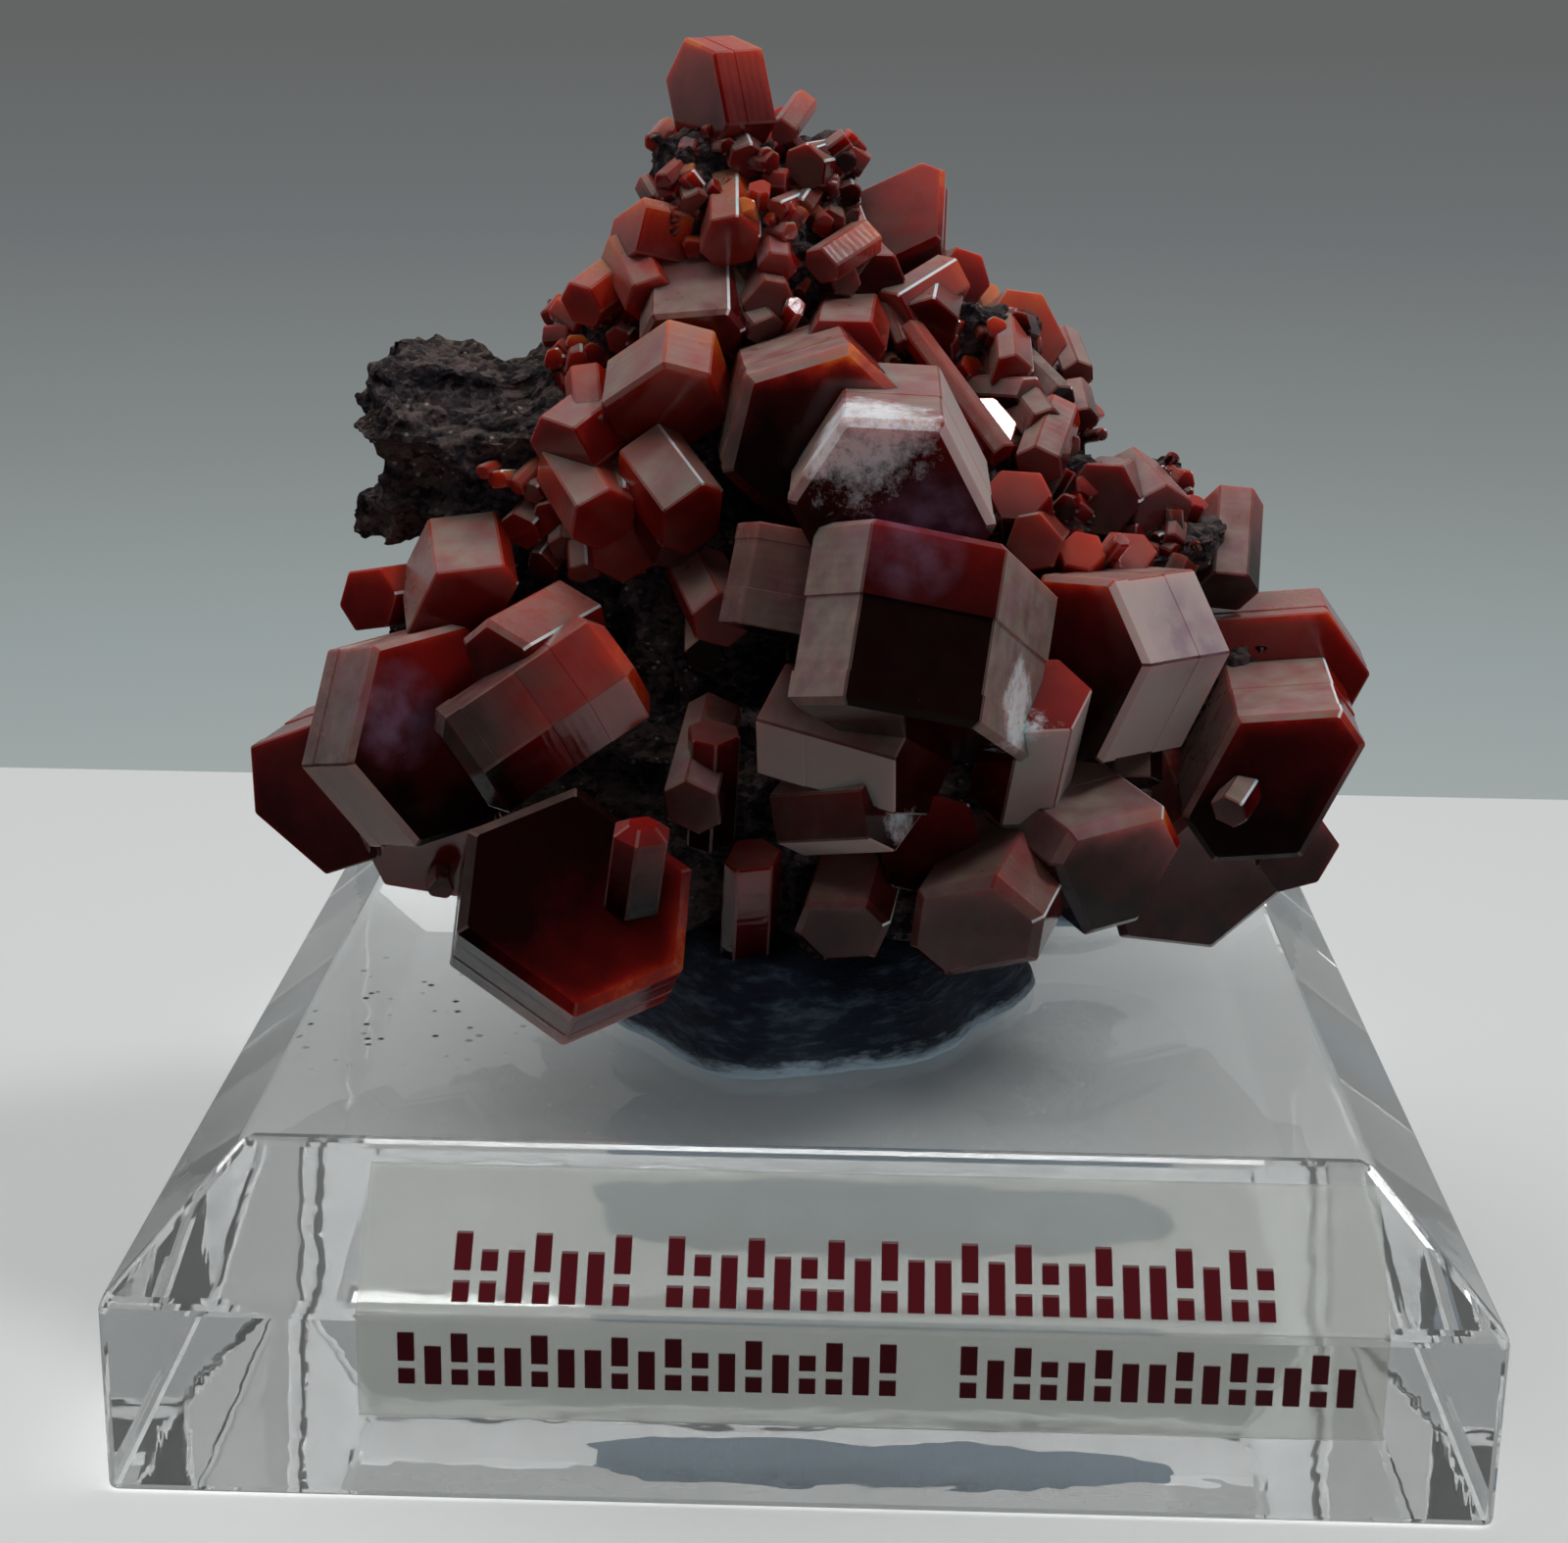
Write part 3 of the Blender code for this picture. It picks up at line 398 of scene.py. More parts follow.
def outline(sides, grow, cut):
    """Twelve corners of the six-sided outline at the given distances, its corners cut off."""
    corners = []
    for k in range(6):
        turn = math.radians(60 * k)
        here = sides[k] + grow
        following = sides[(k + 1) % 6] + grow
        across = (following - here * math.cos(math.radians(60))) / math.sin(math.radians(60))
        corners.append(Vector((here * math.cos(turn) - across * math.sin(turn),
                               here * math.sin(turn) + across * math.cos(turn))))
    points = []
    for k, corner in enumerate(corners):
        for neighbour in (corners[k - 1], corners[(k + 1) % 6]):
            way = neighbour - corner
            points.append(corner + way * min(0.3, cut / max(way.length, 0.001)))
    return points


def profile_of(crystal, rng):
    """(height, inset, glow, cap, shade) of every ring from the back end to the front end."""
    half = crystal.length / 2
    bevel = max(crystal.bevel, LEAST_BEVEL)
    run = bevel * PYRAMID_RUN
    shoulder = half - bevel
    radius = min(crystal.sides)
    rim = min(RIM, 0.3 * radius, 0.3 * shoulder)
    front = [(shoulder - rim, 0.0, 0.0, 0.0, 0.0), (shoulder, 0.0, 1.0, 0.2, 0.0),
             (half, -run, 1.0, 0.8, 0.0), (half, -run - rim, 0.0, 1.0, 0.0)]
    back = [(-z, inset, glow, cap, shade) for z, inset, glow, cap, shade in reversed(front)]
    bands = growth_bands(crystal, shoulder - rim, rng) if radius > BANDED_RADIUS else []
    steps = []
    before = (0.0, 0.0)
    for height, inset, shade in bands:
        steps += [(height, before[0], 0.0, 0.0, before[1]), (height + 0.02, inset, 0.0, 0.0, shade)]
        before = (inset, shade)
    if steps:
        steps.append((shoulder - rim - 0.02, before[0], 0.0, 0.0, before[1]))
    return back + steps + front


def growth_bands(crystal, reach, rng):
    """(height, inset, shade) where each growth band of a crystal's sides starts."""
    if crystal.band:
        return [(-reach + 0.02, -0.08, -BAND_SHADE), (crystal.band, 0.0, 0.0)]
    heights = sorted(rng.uniform(-0.75, 0.75) * reach for _ in range(rng.randint(1, 2)))
    return [(height, -rng.uniform(0.0, 0.05), rng.uniform(-0.5, 0.5) * BAND_SHADE) for height in heights]


def side_hazes(crystal, frame, rng):
    """How hazy each of the six side faces is: tan bloom with painted light, most where it looks up
    and to the left; the pale faces get a painted reflection.
    """
    hazes = []
    for k in range(6):
        turn = math.radians(60 * k)
        way = frame @ Vector((math.cos(turn), math.sin(turn), 0.0))
        share = HAZE_RISE * max(0.0, way.dot(HAZE_AND_LIGHT_FROM) - HAZE_FACING) * rng.uniform(0.7, 1.3)
        hazes.append(1.0 + PALER * crystal.haze if k in crystal.pale else min(1.0, crystal.haze * share))
    return hazes


def glint_at(way, rng):
    """Haze of a narrow edge face, a few of which get a painted white glint."""
    return GLINT if way.dot(GLINT_FROM) > GLINT_FACING and rng.random() < GLINT_SHARE else EDGE_HAZE


def lit_share(crystal, place):
    """How far towards its lit side a place on a crystal lies, in radii."""
    share = (place / MM - Vector(crystal.at)).dot(Vector(crystal.lit)) / min(crystal.sides)
    return max(-0.6, min(1.0, share))


def add_crystal(bm, crystal, rng):
    """Add one crystal to bm, in metres, with its look kept on its face corners."""
    look = bm.loops.layers.float_color["look"]
    local = bm.verts.layers.float_vector["local"]
    frame = axes_of(crystal.azimuth, crystal.elevation, crystal.spin)
    shift = Vector([rng.uniform(-50.0, 50.0) for _ in range(3)])
    profile = profile_of(crystal, rng)
    hazes = side_hazes(crystal, frame, rng)
    tones = [rng.uniform(-0.06, 0.06) for _ in range(6)]
    rings = []
    for height, inset, *_ in profile:
        ring = []
        for x, y in outline(crystal.sides, inset, CORNER_CUT):
            place = Vector((x, y, height))
            vert = bm.verts.new((Vector(crystal.at) + frame @ place) * MM)
            vert[local] = place + shift
            ring.append(vert)
        rings.append(ring)
    count = len(rings[0])
    ways = [(frame @ Vector((x, y, 0.0))).normalized() for x, y in outline(crystal.sides, 0.0, CORNER_CUT)]
    # Painted glow along the rims, strongest on the side named by lit, which is painted paler too.
    glows = [crystal.rim * (0.1 + 0.9 * max(0.0, way.dot(Vector(crystal.lit)))) for way in ways]
    rise = LEAST_RISE + RIM_RISE * crystal.rim
    cap_haze = crystal.haze * (PALE_CAP_HAZE if 6 in crystal.pale else CAP_HAZE)
    edges = [glint_at(way, rng) for way in ways]
    for level in range(len(rings) - 1):
        lower, upper = rings[level], rings[level + 1]
        on_cap = min(profile[level][3], profile[level + 1][3]) > 0.5
        for k in range(count):
            following = (k + 1) % count
            side = ((k + 1) // 2) % 6
            haze = hazes[side] if k % 2 else edges[k]
            face = bm.faces.new((lower[k], lower[following], upper[following], upper[k]))
            spots = ((level, k), (level, following), (level + 1, following), (level + 1, k))
            for corner, (ring, point) in zip(face.loops, spots):
                _, _, glow, cap, shade = profile[ring]
                tone = crystal.tone + shade + rise * lit_share(crystal, rings[ring][point].co)
                corner[look] = (tone + tones[side] * (1.0 - cap), glow * glows[point],
                                cap_haze if on_cap else haze, cap)
    for ring in (list(reversed(rings[0])), rings[-1]):
        for corner in bm.faces.new(ring).loops:
            tone = crystal.tone + rise * lit_share(crystal, corner.vert.co)
            corner[look] = (tone, 0.0, cap_haze, 1.0)


def crystals_object(name, crystals, rng):
    """One object of all the given crystals."""
    bm = bmesh.new()
    bm.loops.layers.float_color.new("look")
    bm.verts.layers.float_vector.new("local")
    for crystal in crystals:
        add_crystal(bm, crystal, rng)
    bmesh.ops.recalc_face_normals(bm, faces=bm.faces)
    return object_from(bm, name)


def object_from(bm, name):
    """New scene object from a bmesh, which is freed."""
    mesh = bpy.data.meshes.new(name)
    bm.to_mesh(mesh)
    bm.free()
    thing = bpy.data.objects.new(name, mesh)
    bpy.context.collection.objects.link(thing)
    return thing


def tone_at(place):
    """Small crystals are orange-red to the left, and darker to the right and low down."""
    return 0.44 - 0.013 * place[0] - (0.30 if place[2] < 29.0 else 0.0)


def rooted(surface, small):
    """Length that brings a small crystal from its front end into the rock."""
    along = axes_of(small.azimuth, small.elevation, 0).col[2]
    hit, _, _, distance = surface.ray_cast(Vector(small.at) * MM, -along)
    if hit is None:
        return small.length
    return min(MAX_SMALL_LENGTH, max(small.length, distance / MM + ROOT_DEPTH))


def hung(small, rng):
    """A thin small crystal hangs forward and aside; the others stay as listed."""
    turn = rng.uniform(-SMALL_TURN, SMALL_TURN)
    droop = rng.uniform(*SMALL_DROOP)
    thick, steep = SMALL_HANGING
    if small.radius > thick or small.elevation > steep:
        return small
    return small._replace(azimuth=small.azimuth + turn, elevation=small.elevation - droop)


def small_crystals(surface):
    """The listed small crystals, each with its own slight irregularity."""
    rng = random.Random(SMALL_SEED)
    tones = random.Random(SMALL_SEED)
    made = []
    for listed in SMALL_CRYSTALS:
        sides = tuple(listed.radius * rng.uniform(0.85, 1.15) for _ in range(6))
        small = hung(listed, rng)
        length = rooted(surface, small)
        along = axes_of(small.azimuth, small.elevation, 0).col[2]
        middle = Vector(small.at) - along * (length / 2)
        spin = rng.uniform(0, 60)
        tone = tone_at(small.at) + tones.uniform(-0.22, 0.2)
        pale = (6,) if tones.random() < PALE_SHARE else ()
        made.append(Crystal(tuple(middle), small.azimuth, small.elevation, spin, sides, length, tone=tone,
                            rim=tones.uniform(0.1, 0.5), haze=tones.uniform(0.5, 1.2), pale=pale))
    return made


def crust_crystals(surface):
    """Seeded small crystals that stand on the back of the rock."""
    made = []
    for number in range(CRUST_TRIES):
        rng = random.Random(CRUST_SEED * CRUST_TRIES + number)
        turn = rng.uniform(0.0, math.pi)
        height = rng.uniform(*CRUST_HEIGHTS)
        origin = Vector((CAST_FROM * math.cos(turn), CAST_FROM * math.sin(turn), height)) * MM
        way = (Vector((-1.0, 0.0, height)) * MM - origin).normalized()
        place, normal, _, _ = surface.ray_cast(origin, way)
        radius = rng.uniform(*CRUST_RADII)
        lean = Vector([rng.uniform(-0.5, 0.5) for _ in range(3)])
        if place is None or normal.y < CRUST_FACING or abs(place.x) > CRUST_REACH * MM:
            continue
        if any((Vector(c.at) - place / MM).length < 0.9 * (c.sides[0] + radius) for c in made):
            continue
        aim = (normal + lean).normalized()
        azimuth = math.degrees(math.atan2(aim.x, -aim.y))
        elevation = math.degrees(math.asin(max(-1.0, min(1.0, aim.z))))
        sides = tuple(radius * rng.uniform(0.85, 1.15) for _ in range(6))
        made.append(Crystal(tuple(place / MM), azimuth, elevation, rng.uniform(0, 60), sides,
                            radius * rng.uniform(1.6, 2.6), tone=rng.uniform(0.2, 0.7),
                            haze=rng.uniform(0.1, 0.6)))
        if len(made) == CRUST_COUNT:
            break
    return made


def druse_crystals(surface):
    """Tiny crystals strewn over the parts of the rock that carry small ones."""
    rng = random.Random(DRUSE_SEED)
    made = []
    for _ in range(DRUSE_TRIES):
        aim = Vector((rng.uniform(-11.0, 19.0), 0.0, rng.uniform(28.0, 47.0))) * MM
        start = Vector(CAMERA_AT) * MM + Vector((rng.uniform(-30, 60), 0, rng.uniform(-20, 30))) * MM
        radius = rng.uniform(*DRUSE_RADII)
        lean = Vector([rng.uniform(-1.6, 1.6) for _ in range(3)])
        place, normal, _, _ = surface.ray_cast(start, (aim - start).normalized())
        if place is None or place.z < (36.0 if place.x < 0.005 else 24.0) * MM:
            continue
        aim = (normal + lean).normalized()
        azimuth = math.degrees(math.atan2(aim.x, -aim.y))
        elevation = math.degrees(math.asin(max(-1.0, min(1.0, aim.z))))
        sides = tuple(radius * rng.uniform(0.8, 1.2) for _ in range(6))
        at = place / MM + aim * radius * 0.3
        made.append(Crystal(tuple(at), azimuth, elevation, rng.uniform(0, 60), sides,
                            radius * rng.uniform(1.8, 3.0), tone=tone_at(at) + rng.uniform(-0.3, 0.15),
                            haze=rng.uniform(0.1, 0.8)))
    return made


# ---------------------------------------------------------------- rock, putty, block

def apply_modifiers(thing):
    """Keep the result of an object's modifiers as its mesh."""
    bpy.context.view_layer.update()
    seen = thing.evaluated_get(bpy.context.evaluated_depsgraph_get())
    result = bpy.data.meshes.new_from_object(seen)
    thing.modifiers.clear()
    old = thing.data
    thing.data = result
    bpy.data.meshes.remove(old)


def add_lump(bm, lump, cuts):
    """One lump of rock: a squarish ellipsoid with a rough skin."""
    made = bmesh.ops.create_icosphere(bm, subdivisions=cuts, radius=1.0)
    for vert in made["verts"]:
        way = vert.co.normalized()
        stretch = sum(abs(c) ** SQUARENESS for c in way) ** (-1.0 / SQUARENESS)
        place = Vector([c * stretch * r for c, r in zip(way, lump.radii)]) + Vector(lump.centre)
        layer = math.sin(place.z / BED_THICKNESS * math.pi) * BED_RELIEF
        rough = noise.fractal(place / ROUGH_SIZE, 0.7, 2.3, 3) * ROUGH_SHARE + layer
        vert.co = (Vector(lump.centre) + (place - Vector(lump.centre)) * (1.0 + rough)) * MM


def crags(place):
    """Depth of the rock's own relief at a place, in millimetres."""
    blocks = noise.voronoi(place / 1.9)[0]
    block = min((blocks[1] - blocks[0]) * 0.6, 0.30)
    grit = noise.voronoi(place / 0.7)[0]
    grain = min((grit[1] - grit[0]) * 0.5, 0.16)
    broad = noise.noise(place / 2.4) * 0.35
    bed = math.sin(place.z * 2 * math.pi / 1.5 + noise.noise(place / 3.0) * 3.0) * 0.07
    return block + grain + broad + bed - 0.55


def build_rock():
    """The matrix: fused lumps, weathered along its beds into crags and pits."""
    bm = bmesh.new()
    for lump in LUMPS:
        add_lump(bm, lump, 5)
    rock = object_from(bm, "rock")
    fuse = rock.modifiers.new("fuse", "REMESH")
    fuse.mode = "VOXEL"
    fuse.voxel_size = ROCK_VOXEL * MM
    apply_modifiers(rock)
    normals = [vert.normal.copy() for vert in rock.data.vertices]
    for vert, normal in zip(rock.data.vertices, normals):
        place = vert.co / MM + normal * crags(vert.co / MM)
        place.z = max(place.z, MATRIX_FOOT_Z)
        vert.co = place * MM
    return rock


def surface_of(thing):
    """Tree that answers where a ray meets an object's skin."""
    bm = bmesh.new()
    bm.from_mesh(thing.data)
    tree = BVHTree.FromBMesh(bm)
    bm.free()
    return tree


def add_pad(bm, centre, radii, boxy, profile):
    """One pad of putty, dragged by a thumb: round, or squarish if boxy is below 1."""
    rings = []
    for level, (height, scale) in enumerate(profile):
        ring = []
        for k in range(PUTTY_POINTS):
            turn = 2 * math.pi * k / PUTTY_POINTS
            place = Vector((math.cos(turn) * 3.0, math.sin(turn) * 3.0, height * 0.4 + centre[1]))
            reach = scale * (1.0 + 0.05 * math.sin(3 * turn + 0.6) + 0.03 * math.sin(7 * turn + 2.0))
            reach *= 1.0 + 0.02 * noise.fractal(place * 1.3, 0.8, 2.2, 3)
            lift = 0.10 * noise.noise(place * 1.1) if level > 1 else 0.0
            x, y = [math.copysign(abs(c) ** boxy, c) for c in (math.cos(turn), math.sin(turn))]
            ring.append(bm.verts.new(((centre[0] + x * radii[0] * reach) * MM,
                                      (centre[1] + y * radii[1] * reach) * MM, (height + lift) * MM)))
        rings.append(ring)
    for lower, upper in zip(rings, rings[1:]):
        for k in range(PUTTY_POINTS):
            following = (k + 1) % PUTTY_POINTS
            bm.faces.new((lower[k], lower[following], upper[following], upper[k]))
    bm.faces.new(list(reversed(rings[0])))
    bm.faces.new(rings[-1])


def build_putty():
    """Putty pressed up around the rock's foot and spread on the block behind it."""
    bm = bmesh.new()
    for centre, radii, boxy, profile in PADS:
        add_pad(bm, centre, radii, boxy, profile)
    putty = object_from(bm, "putty")
    for face in putty.data.polygons:
        face.use_smooth = True
    return putty


def build_block():
    """Square block with upright sides and a bevelled top, its edges softly rounded."""
    half = BLOCK_WIDTH / 2
    top = half - BLOCK_TOP_INSET
    bm = bmesh.new()
    rings = []
    for reach, height in ((half, 0.0), (half, BLOCK_SIDE_HEIGHT), (top, BLOCK_HEIGHT)):
        rings.append([bm.verts.new((x * reach * MM, y * reach * MM, height * MM))
                      for x, y in ((-1, -1), (1, -1), (1, 1), (-1, 1))])
    for lower, upper in zip(rings, rings[1:]):
        for k in range(4):
            bm.faces.new((lower[k], lower[(k + 1) % 4], upper[(k + 1) % 4], upper[k]))
    bm.faces.new(list(reversed(rings[0])))
    bm.faces.new(rings[-1])
    block = object_from(bm, "clear_block")
    rounding = block.modifiers.new("edges", "BEVEL")
    rounding.width = BLOCK_EDGE_ROUND * MM
    rounding.segments = 3
    apply_modifiers(block)
    return block


def film_section(offset):
    """Points of the film's fold at some distance off the block."""
    run = BLOCK_TOP_INSET * FILM_RISE_SHARE
    rise = (BLOCK_HEIGHT - BLOCK_SIDE_HEIGHT) * FILM_RISE_SHARE
    slope = math.atan2(rise, run)
    front = -BLOCK_WIDTH / 2 - offset
    crease = BLOCK_SIDE_HEIGHT + offset * math.tan((math.pi / 2 - slope) / 2)
    upper = Vector((front + offset + run - offset * math.sin(slope),
                    BLOCK_SIDE_HEIGHT + rise + offset * math.cos(slope)))
    return [Vector((front, BLOCK_SIDE_HEIGHT - FILM_DROP)), Vector((front, crease)), upper]


def strip_object(name, left, right, inner, outer):
    """Thin strip between two sections, from left to right."""
    around = list(inner) + list(reversed(outer))
    bm = bmesh.new()
    ends = [[bm.verts.new((x * MM, y * MM, z * MM)) for y, z in around] for x in (left, right)]
    count = len(around)
    for k in range(count):
        following = (k + 1) % count
        bm.faces.new((ends[0][k], ends[0][following], ends[1][following], ends[1][k]))
    for k in range(len(inner) - 1):
        quad = (k, k + 1, count - 2 - k, count - 1 - k)
        bm.faces.new([ends[0][n] for n in quad])
        bm.faces.new([ends[1][n] for n in reversed(quad)])
    bmesh.ops.recalc_face_normals(bm, faces=bm.faces)
    return object_from(bm, name)


def build_film():
    """The label film, folded over the block's front edge."""
    left = FILM_CENTRE_X - FILM_WIDTH / 2
    right = FILM_CENTRE_X + FILM_WIDTH / 2
    return strip_object("label_strip", left, right, film_section(FILM_GAP),
                        film_section(FILM_GAP + FILM_THICKNESS))


# ---------------------------------------------------------------- materials

class Graph:
    """Small helper round one material's nodes."""

    def __init__(self, name, **sockets):
        self.material = bpy.data.materials.new(name)
        self.material.use_nodes = True
        self.tree = self.material.node_tree
        self.shader = self.tree.nodes["Principled BSDF"]
        for key, value in sockets.items():
            self.shader.inputs[key.replace("_", " ")].default_value = value

    def feed(self, socket, value):
        if isinstance(value, bpy.types.NodeSocket):
            self.tree.links.new(value, socket)
        else:
            socket.default_value = value

    def node(self, kind, inputs, **settings):
        made = self.tree.nodes.new(kind)
        for key, value in settings.items():
            setattr(made, key, value)
        for key, value in inputs.items():
            self.feed(made.inputs[key], value)
        return made

    def math(self, operation, a, b=0.0, clamp=False):
        return self.node("ShaderNodeMath", {0: a, 1: b}, operation=operation, use_clamp=clamp).outputs[0]

    def vector_math(self, operation, a, b):
        return self.node("ShaderNodeVectorMath", {0: a, 1: b}, operation=operation).outputs[0]

    def measure(self, operation, a, b):
        """A vector operation that gives a number."""
        return self.node("ShaderNodeVectorMath", {0: a, 1: b}, operation=operation).outputs["Value"]

    def split(self, vector):
        """X, Y and Z of a vector."""
        return self.node("ShaderNodeSeparateXYZ", {0: vector}).outputs

    def mix(self, share, a, b):
        made = self.node("ShaderNodeMix", {0: share}, data_type="RGBA")
        self.feed(made.inputs[6], a)
        self.feed(made.inputs[7], b)
        return made.outputs[2]

    def ramp(self, value, stops):
        made = self.node("ShaderNodeValToRGB", {0: value})
        bar = made.color_ramp.elements
        while len(bar) < len(stops):
            bar.new(0.5)
        for element, (position, colour) in zip(bar, stops):
            element.position = position
            element.color = (*colour, 1.0)
        return made.outputs[0]

    def span(self, value, low, high, start=0.0, end=1.0):
        return self.node("ShaderNodeMapRange", {0: value, 1: low, 2: high, 3: start, 4: end}).outputs[0]

    def attribute(self, name):
        return self.node("ShaderNodeAttribute", {}, attribute_name=name)

    def object_mm(self):
        """Object coordinates in millimetres."""
        place = self.node("ShaderNodeTexCoord", {}).outputs["Object"]
        return self.vector_math("MULTIPLY", place, (1000.0, 1000.0, 1000.0))

    def noise(self, place, size, detail=4.0, rough=0.6):
        made = self.node("ShaderNodeTexNoise",
                         {"Vector": place, "Scale": 1.0 / size, "Detail": detail, "Roughness": rough})
        return made.outputs[0]

    def bump(self, height, depth_mm, onto=None):
        inputs = {"Height": height, "Distance": depth_mm * MM, "Strength": 1.0}
        if onto is not None:
            inputs["Normal"] = onto
        return self.node("ShaderNodeBump", inputs).outputs[0]

    def set(self, key, value):
        self.feed(self.shader.inputs[key], value)


def near_any(g, place, spots):
    """1 near the given spots, falling to 0 at their radius."""
    total = 0.0
    for centre, radius in spots:
        away = g.measure("DISTANCE", place, centre)
        total = g.math("MAXIMUM", g.span(away, 0.45 * radius, radius, 1.0, 0.0), total)
    return total


def frost_and_reflection_in(g, place, fine):
    """Frosted patches on a few of the large crystals, painted white as a painted reflection."""
    total = near_any(g, place, FROST_AND_REFLECTION)
    return g.span(g.math("ADD", total, g.math("MULTIPLY", fine, 2.6)), 1.75, 2.35, 0.0, 1.0)


def vanadinite():
    """Red crystal with some subsurface scattering, near-black maroon to orange by its tone, with a
    painted glow along its ends' rims, a painted lit side, painted reflections, glints and sheen.
    """
    g = Graph("vanadinite", IOR=1.8, Subsurface_Weight=0.6, Subsurface_Scale=1.0 * MM)
    g.shader.inputs["Subsurface Radius"].default_value = (1.6, 0.15, 0.08)
    look = g.attribute("look")
    parts = g.node("ShaderNodeSeparateColor", {0: look.outputs["Color"]}).outputs
    cap = look.outputs["Alpha"]
    local = g.attribute("local").outputs["Vector"]
    clouds = g.noise(local, 1.6, 5.0, 0.6)
    fine = g.noise(local, 0.35, 4.0, 0.7)
    tone = g.math("ADD", parts[0], g.span(clouds, 0.3, 0.7, -0.05, 0.06))
    # Painted glow along the ends' rims turns the tone towards orange.
    glow = g.math("MULTIPLY", g.math("POWER", parts[1], 1.7), g.span(clouds, 0.3, 0.65, 0.35, 1.0))
    tone = g.math("ADD", tone, g.math("MULTIPLY", glow, 0.85))
    colour = g.ramp(tone, [(0.0, (0.009, 0.0006, 0.0010)), (0.2, (0.080, 0.0030, 0.0032)),
                           (0.45, (0.27, 0.010, 0.008)), (0.7, (0.56, 0.038, 0.011)),
                           (1.0, (0.95, 0.26, 0.03))])
    g.set("Specular IOR Level", g.span(tone, 0.1, 0.6, 0.12, 0.5))
    patchy = g.noise(local, 1.0, 3.0, 0.5)
    # Tan bloom with painted light where faces look up and to the left, paler still as a painted reflection on
    # the pale faces.
    haze = g.math("MULTIPLY", parts[2], g.span(patchy, 0.3, 0.7, 0.6, 1.05), clamp=True)
    bloom_and_reflection = g.mix(g.span(clouds, 0.45, 0.7), (0.38, 0.28, 0.24, 1.0), (0.34, 0.18, 0.20, 1.0))
    bloom_and_reflection = g.mix(g.math("SUBTRACT", parts[2], 1.0, clamp=True), bloom_and_reflection, (0.62, 0.50, 0.48, 1.0))
    colour = g.mix(haze, colour, bloom_and_reflection)
    place = g.object_mm()
    # Painted violet sheen.
    sheen = g.math("MULTIPLY", near_any(g, place, SHEEN), g.span(patchy, 0.35, 0.65, 0.15, 0.65))
    colour = g.mix(sheen, colour, (0.26, 0.15, 0.24, 1.0))
    # Painted white: a painted reflection in the frosted patches, and painted glints on some edges.
    white = g.math("ADD", frost_and_reflection_in(g, place, g.noise(place, 0.9, 8.0, 0.8)),
                   g.math("SUBTRACT", parts[2], 2.0, clamp=True), clamp=True)
    colour = g.mix(white, colour, (0.95, 0.93, 0.98, 1.0))
    g.set("Base Color", colour)
    g.set("Roughness", g.math("ADD", g.span(clouds, 0.35, 0.7, 0.05, 0.14), g.math("MULTIPLY", haze, 0.35)))
    ribs = {"Vector": local, "Scale": 0.9, "Distortion": 2.5, "Detail": 3.0, "Detail Scale": 1.5}
    along = g.node("ShaderNodeTexWave", ribs, wave_type="BANDS", bands_direction="Z").outputs[0]
    sides = g.math("MULTIPLY", along, g.math("SUBTRACT", 1.0, cap))
    first = g.bump(sides, 0.003)
    uneven = g.math("ADD", g.noise(local, 0.8, 6.0, 0.65), g.math("MULTIPLY", fine, 0.3))
    g.set("Normal", g.bump(uneven, 0.014, first))
    return g.material


def rock_stuff():
    """Granular rock: mauve-brown with blue-black patches, tan on top, and bright specks."""
    g = Graph("rock")
    place = g.object_mm()
    beds = g.vector_math("MULTIPLY", place, (0.7, 0.7, 1.4))
    patches = g.noise(beds, 2.2, 5.0, 0.65)
    grain = g.noise(place, 0.45, 6.0, 0.8)
    colour = g.ramp(patches, [(0.36, (0.018, 0.023, 0.040)), (0.46, (0.045, 0.040, 0.055)),
                              (0.55, (0.13, 0.085, 0.085)), (0.68, (0.22, 0.155, 0.135))])
    up = g.split(g.node("ShaderNodeNewGeometry", {}).outputs["Normal"])[2]
    colour = g.mix(g.math("MULTIPLY", g.span(up, 0.3, 0.9, 0.0, 0.7), grain), colour, (0.30, 0.24, 0.18, 1.0))
    colour = g.mix(g.span(grain, 0.52, 0.64, 0.0, 0.75), colour, (0.24, 0.18, 0.17, 1.0))
    colour = g.mix(g.span(grain, 0.47, 0.38, 0.0, 0.9), colour, (0.005, 0.005, 0.008, 1.0))
    grains = g.node("ShaderNodeTexVoronoi", {"Vector": g.vector_math("MULTIPLY", place, (1.0, 1.0, 1.5)),
                                             "Scale": 2.6}).outputs
    kind = g.node("ShaderNodeSeparateColor", {0: grains["Color"]}).outputs
    colour = g.mix(g.span(kind[0], 0.35, 1.0, 0.0, 0.45), colour, (0.30, 0.22, 0.23, 1.0))
    colour = g.mix(g.span(kind[1], 0.45, 1.0, 0.0, 0.85), colour, (0.006, 0.008, 0.014, 1.0))
    specks = g.span(g.node("ShaderNodeTexVoronoi", {"Vector": place, "Scale": 1.5}).outputs[0], 0.17, 0.09)
    specks = g.math("MULTIPLY", specks, g.span(patches, 0.42, 0.58))
    colour = g.mix(specks, colour, (0.70, 0.64, 0.62, 1.0))
    g.set("Base Color", colour)
    g.set("Roughness", g.span(specks, 0.0, 1.0, 0.85, 0.15))
    uneven = g.bump(g.noise(place, 1.1, 5.0, 0.7), 0.25)
    rounded = g.bump(g.span(grains["Distance"], 0.0, 0.6, 1.0, 0.0), 0.16, uneven)
    g.set("Normal", g.bump(grain, 0.35, rounded))
    return g.material


